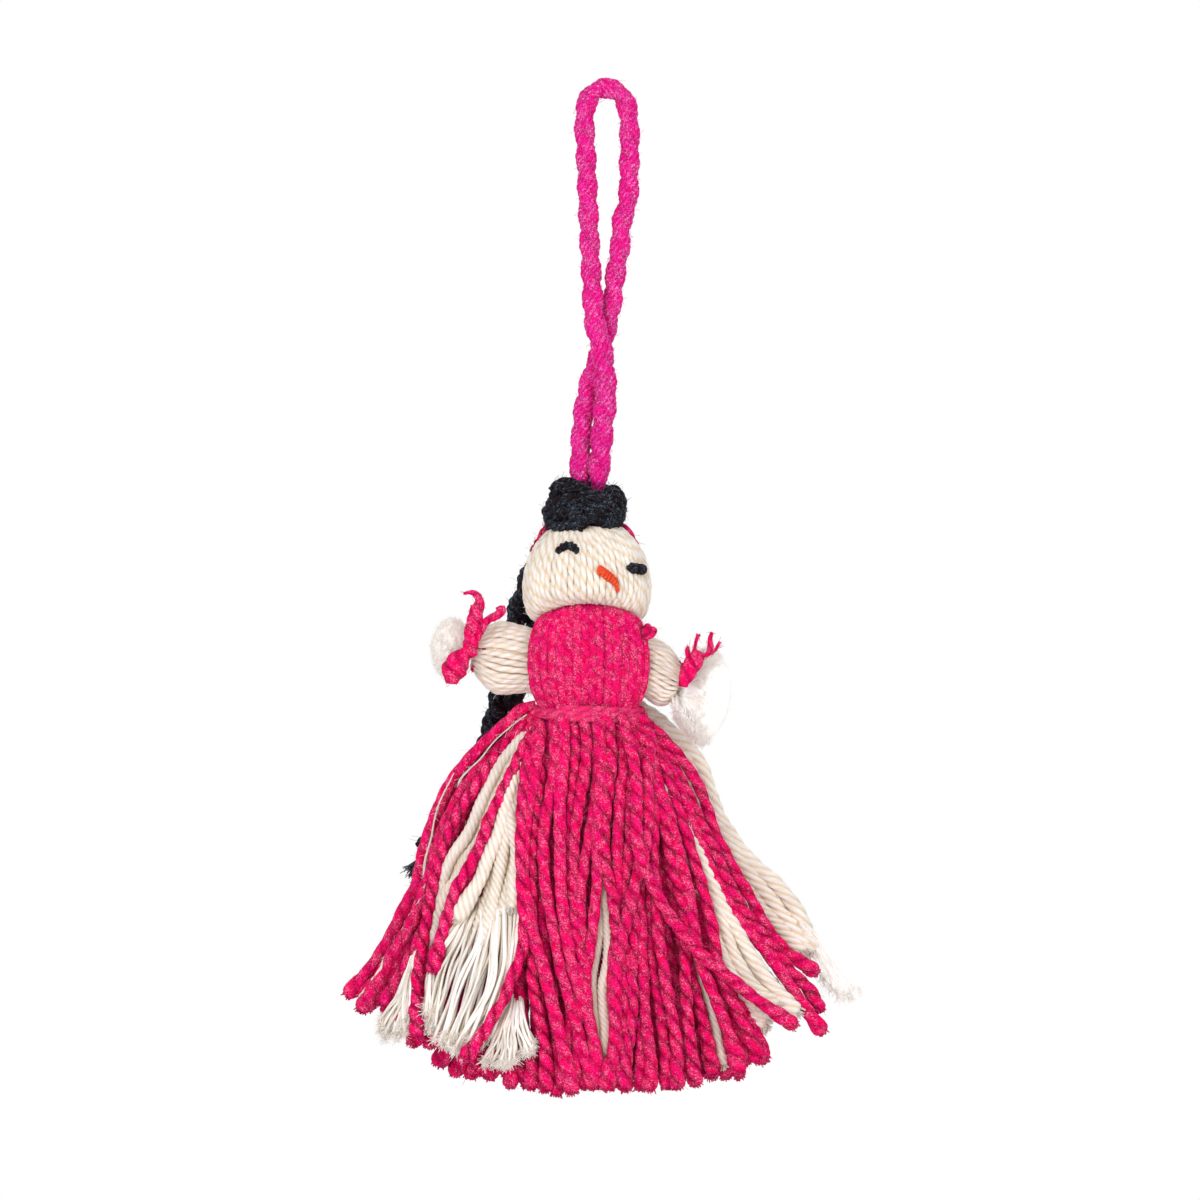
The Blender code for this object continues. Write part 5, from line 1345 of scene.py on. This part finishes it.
# Loose yarns by node: how far they stand off, how many, their thickness and side, then the lines
# on which they start, bend and end, as x and y of places in pixels
LOOSE = {
    "underskirt_left_3": (
        (
            (-0.002, 0.0026),
            84,
            0.00074,
            -1,
            (
                (517, 850, 508, 868, 498, 882, 488, 892, 478, 900, 468, 912),
                (519, 915, 508, 932, 497, 938, 482, 936, 464, 934, 446, 938),
                (514, 965, 502, 985, 487, 990, 466, 988, 446, 978, 430, 968),
                (487, 1040, 474, 1050, 458, 1054, 444, 1048, 432, 1034, 425, 1008),
            ),
        ),
        (
            (0.001, 0.0024),
            16,
            0.0006,
            -1,
            ((517, 856, 514, 890), (520, 915, 511, 950), (512, 975, 500, 1005), (492, 1020, 470, 1048)),
        ),
    ),
    "underskirt_left_1": (
        (
            (-0.001, 0.0008),
            46,
            0.0006,
            -1,
            (
                (519, 985, 516, 990),
                (525, 1018, 500, 1028),
                (534, 1046, 526, 1057, 511, 1063, 497, 1064, 481, 1063),
            ),
        ),
    ),
    "underskirt_left_4": (
        (
            (0.0006, 0.0022),
            46,
            0.00055,
            -1,
            (
                (420, 925, 418, 932),
                (404, 980, 412, 980),
                (377, 1024, 382, 1038, 393, 1047, 402, 1038, 409, 1022),
            ),
        ),
    ),
    "underskirt_back_2": (
        (
            (-0.001, 0.001),
            40,
            0.00014,
            1,
            ((800, 922, 814, 934), (814, 958, 830, 956), (822, 982, 846, 1003, 860, 994)),
        ),
    ),
}
# Where the lining that shows between the strands at the left ends; its low tone is a little painted shade
LINING_LEFT = (
    (522, 1080), (508, 1076), (496, 1068), (483, 1058), (470, 1044), (456, 1030), (442, 1010), (430, 990),
)


def places(row):
    """Pairs of pixels from a flat row of them."""
    return np.reshape(np.array(row, float), (-1, 2))


def front_route(pixels, lift, side=-1):
    return [on_skirt(x, y, lift, side) for x, y in pixels]


def make_front_skirt(pink):
    """The pink strands that the front view shows, piece by piece."""
    for node, rows in PINK.items():
        lock = Yarn()
        front = node.startswith("skirt_front")
        for lift, half, *row in rows:
            strand(lock, front_route(places(row), lift), half * PIXEL, begin=1.16 if front else 0.94)
        if front:
            hem = 752 - 27 * int(node[-1])
            for x in (hem, hem + 14):
                waist = 590 + (x - 630) * 0.45
                lining = (
                    (waist, 712, -0.0004),
                    (waist, 740, -0.0006),
                    (0.75 * waist + 0.25 * x, 800, -0.0016),
                    (0.5 * (waist + x), 860, -0.0034),
                    (0.15 * waist + 0.85 * x, 980, -0.0048),
                    (x, 1078, -0.0048),
                )
                # Tone 0.2 darkens these strands behind a little: painted shade between the strands in front
                strand(lock, [on_skirt(*row) for row in lining], 6.2 * PIXEL, tone=0.2)
        if node == "skirt_left_2":
            for x, y in LINING_LEFT:
                middle = (0.5 * (534 + x), 0.5 * (740 + y))
                lining = ((538, 736), (532, 750), middle, (0.12 * 534 + 0.88 * x, y - 90), (x, y))
                # Tone 0 darkens these strands behind a little: painted shade between the strands in front
                strand(lock, front_route(lining, -0.006), 7 * PIXEL, tone=0.0)
        lock.make(f"{node}_yarn", pink, "torso", (node,))


def make_under_skirt(cream):
    """The cream strands and loose yarns that show between and beside the pink ones."""
    for node in sorted({*CREAM, *LOOSE}):
        lock = Yarn()
        for lift, half, side, turn, *row in CREAM.get(node, ()):
            dip = 0.34 if side > 0 else 0.22
            strand(lock, front_route(places(row), lift, side), half * PIXEL, 5, turn, dip, 60, 0.0012, 0.4)
        for lift, half, *row in THIN.get(node, ()):
            size = half * PIXEL
            strand(lock, front_route(places(row), lift), size, 2, 0.004, 0.2, 8, 0.0006, 0.3, 0.9, 0.25)
        for rows in LOOSE.get(node, ()):
            loose(lock, *rows)
        lock.make(f"{node}_yarn", cream, "torso", (node,))


def loose(shape, lifts, count, thick, side, lines, wave=0.0005):
    """Thin yarns that pass from line to line of places, and end in fluff."""
    lines = [places(line) for line in lines]
    points = 28
    routes = []
    for _ in range(count):
        share = chance.uniform()
        rows = []
        for line in lines:
            at = np.linspace(0, 1, len(line))
            near = share + chance.normal(0, 0.03)
            rows.append([np.interp(near, at, line[:, k]) + chance.normal(0, 1.2) for k in range(2)])
        lift = chance.uniform(*lifts)
        rows = [on_skirt(x, y, lift - STARTS_SUNK * (k == 0), side) for k, (x, y) in enumerate(rows)]
        route = smooth(rows, 0.0006)
        at = np.linspace(0, 1, len(route))
        spots = np.linspace(0, chance.uniform(0.9, 1), points)
        routes.append([np.interp(spots, at, route[:, k]) for k in range(3)])
    routes = np.swapaxes(np.array(routes), 1, 2)
    t = np.linspace(0, 1, points)[None]
    for axis in range(2):
        turn = chance.uniform(0, TAU, (count, 1)) + t * chance.uniform(4, 14, (count, 1))
        routes[..., axis] += np.sin(turn) * wave * t
    tones = (0.7, 1.7) if thick > 0.0003 else (1.5, 2.0)
    shape.threads(routes, thick * chance.uniform(0.8, 1.2, (count, 1)), tones, 6)
    shape.fluff(routes[:, -1], routes[:, -1] - routes[:, -3], round(60000 * thick), 0.0014)


def make_back_skirt(pink):
    """The strands behind, side by side on the skirt's own surface."""
    rows = OUTER_LOCK_SHARES
    strands = np.array([row[1] for row in rows])
    waist = (np.cumsum(strands) - strands / 2) * 360 / strands.sum()
    for n, (name, count, hem, length, reach) in enumerate(rows):
        if not name.startswith("skirt_back"):
            continue
        lock = Yarn()
        for i in range(count):
            share = (i + 0.5) / count - 0.5
            start = waist[n] + share * count * 360 / strands.sum()
            end = hem + share * 19
            route = []
            jitter = chance.uniform(-0.03, 0.03)
            for t in (0, 0.05, 0.1, 0.22, 0.38, 0.54, 0.7, 0.85, 1):
                ease = min(1, 2 * t) ** 0.7
                angle = math.radians(start * (1 - ease) + end * ease)
                lift = 0.0005 * (i % 2) * min(1, 6 * t)
                route.append(skirt_point(angle, t * (length + jitter), reach, lift))
            strand(lock, route, chance.uniform(6.6, 7.4) * PIXEL)
        lock.make(f"{name}_yarn", pink, "torso", (name,))


def make_floor():
    """A pale floor a little below the doll, which fades to white and keeps its shadow."""
    look = Look(bpy.data.materials.new("pale_floor"))
    look.shader.inputs["Roughness"].default_value = 0.9
    place = look.add("ShaderNodeTexCoord").outputs["Object"]
    grain = look.noise(place, 90.0, 2.0, 0.5)
    white = look.mix(grain, (0.86, 0.86, 0.86, 1), (0.9, 0.9, 0.9, 1))
    look.put(look.shader.inputs["Base Color"], white)
    glow = look.add("ShaderNodeEmission", {0: WHITE, 1: 1.0})
    rays = look.add("ShaderNodeLightPath")
    share = look.math("MULTIPLY", rays.outputs["Is Camera Ray"], 0.5)
    blend = look.add("ShaderNodeMixShader", {0: share, 1: look.shader.outputs[0], 2: glow.outputs[0]})
    look.put(look.tree.nodes["Material Output"].inputs[0], blend.outputs[0])
    mesh = bpy.data.meshes.new("floor")
    angles = np.arange(96) / 96 * TAU
    rim = [(FLOOR_RADIUS * math.cos(a), FLOOR_RADIUS * math.sin(a), FLOOR_Z) for a in angles]
    mesh.from_pydata(rim, [], [tuple(range(96))])
    mesh.materials.append(look.made)
    floor = bpy.data.objects.new("floor", mesh)
    bpy.context.scene.collection.objects.link(floor)


def make_world():
    """White behind the doll and in its reflections, and a softer white light on it."""
    world = Look(bpy.data.worlds.new("studio"))
    bpy.context.scene.world = world.made
    back = world.tree.nodes["Background"]
    back.inputs[0].default_value = WHITE
    back.inputs[1].default_value = AMBIENT
    plain = world.add("ShaderNodeBackground", {0: WHITE, 1: 1.0})
    rays = world.add("ShaderNodeLightPath").outputs
    clear = world.math("MAXIMUM", rays["Is Camera Ray"], rays["Is Transmission Ray"])
    bare = world.math("MAXIMUM", clear, rays["Is Glossy Ray"])
    mixed = world.add("ShaderNodeMixShader", {0: bare, 1: back.outputs[0], 2: plain.outputs[0]})
    world.put(world.tree.nodes["World Output"].inputs[0], mixed.outputs[0])


def make_lamp(name, place, size, power):
    data = bpy.data.lights.new(name, "AREA")
    data.size = size
    data.energy = power
    lamp = bpy.data.objects.new(name, data)
    lamp.location = place
    aim = LAMPS_AIM - Vector(place)
    lamp.rotation_euler = aim.to_track_quat("-Z", "Y").to_euler()
    bpy.context.scene.collection.objects.link(lamp)


def main():
    bpy.context.scene.view_settings.view_transform = "Standard"
    make_camera()
    magenta = yarn_look("magenta_cord", 0.85, 30, 0.04, 0.08, 0.8, 0.6)
    pink = yarn_look("pink_yarn", 1.0, 24, 0.02, 0.05, 1.0, 0.5)
    cream = yarn_look("cream_yarn", 0.6, 26, 0.1, 0.2, 0.9, 0.4)
    black = yarn_look("black_yarn", 0.6, 60, 0.0, 0.1, 1.0, 0.5, along=3.0)
    red = yarn_look("red_thread", 0.4, 14, 0.05, 0.2)
    make_cord(magenta)
    make_head(cream)
    make_face(black, red)
    make_bun(black)
    make_back_hair(black)
    make_band(pink)
    make_braid(black)
    make_panel("bodice_front_strands", "bodice_front", pink, -1)
    make_panel("bodice_back_strands", "bodice_back", pink, 1)
    make_core(cream)
    make_waist(pink)
    make_neck(pink)
    for side in ("left", "right"):
        make_arm(side, cream)
        make_wrap(side, pink)
        make_tails(side, pink)
    make_left_hand(cream)
    make_right_hand(cream)
    make_front_skirt(pink)
    make_under_skirt(cream)
    make_back_skirt(pink)
    make_floor()
    make_world()
    for row in LAMPS:
        make_lamp(*row)


main()
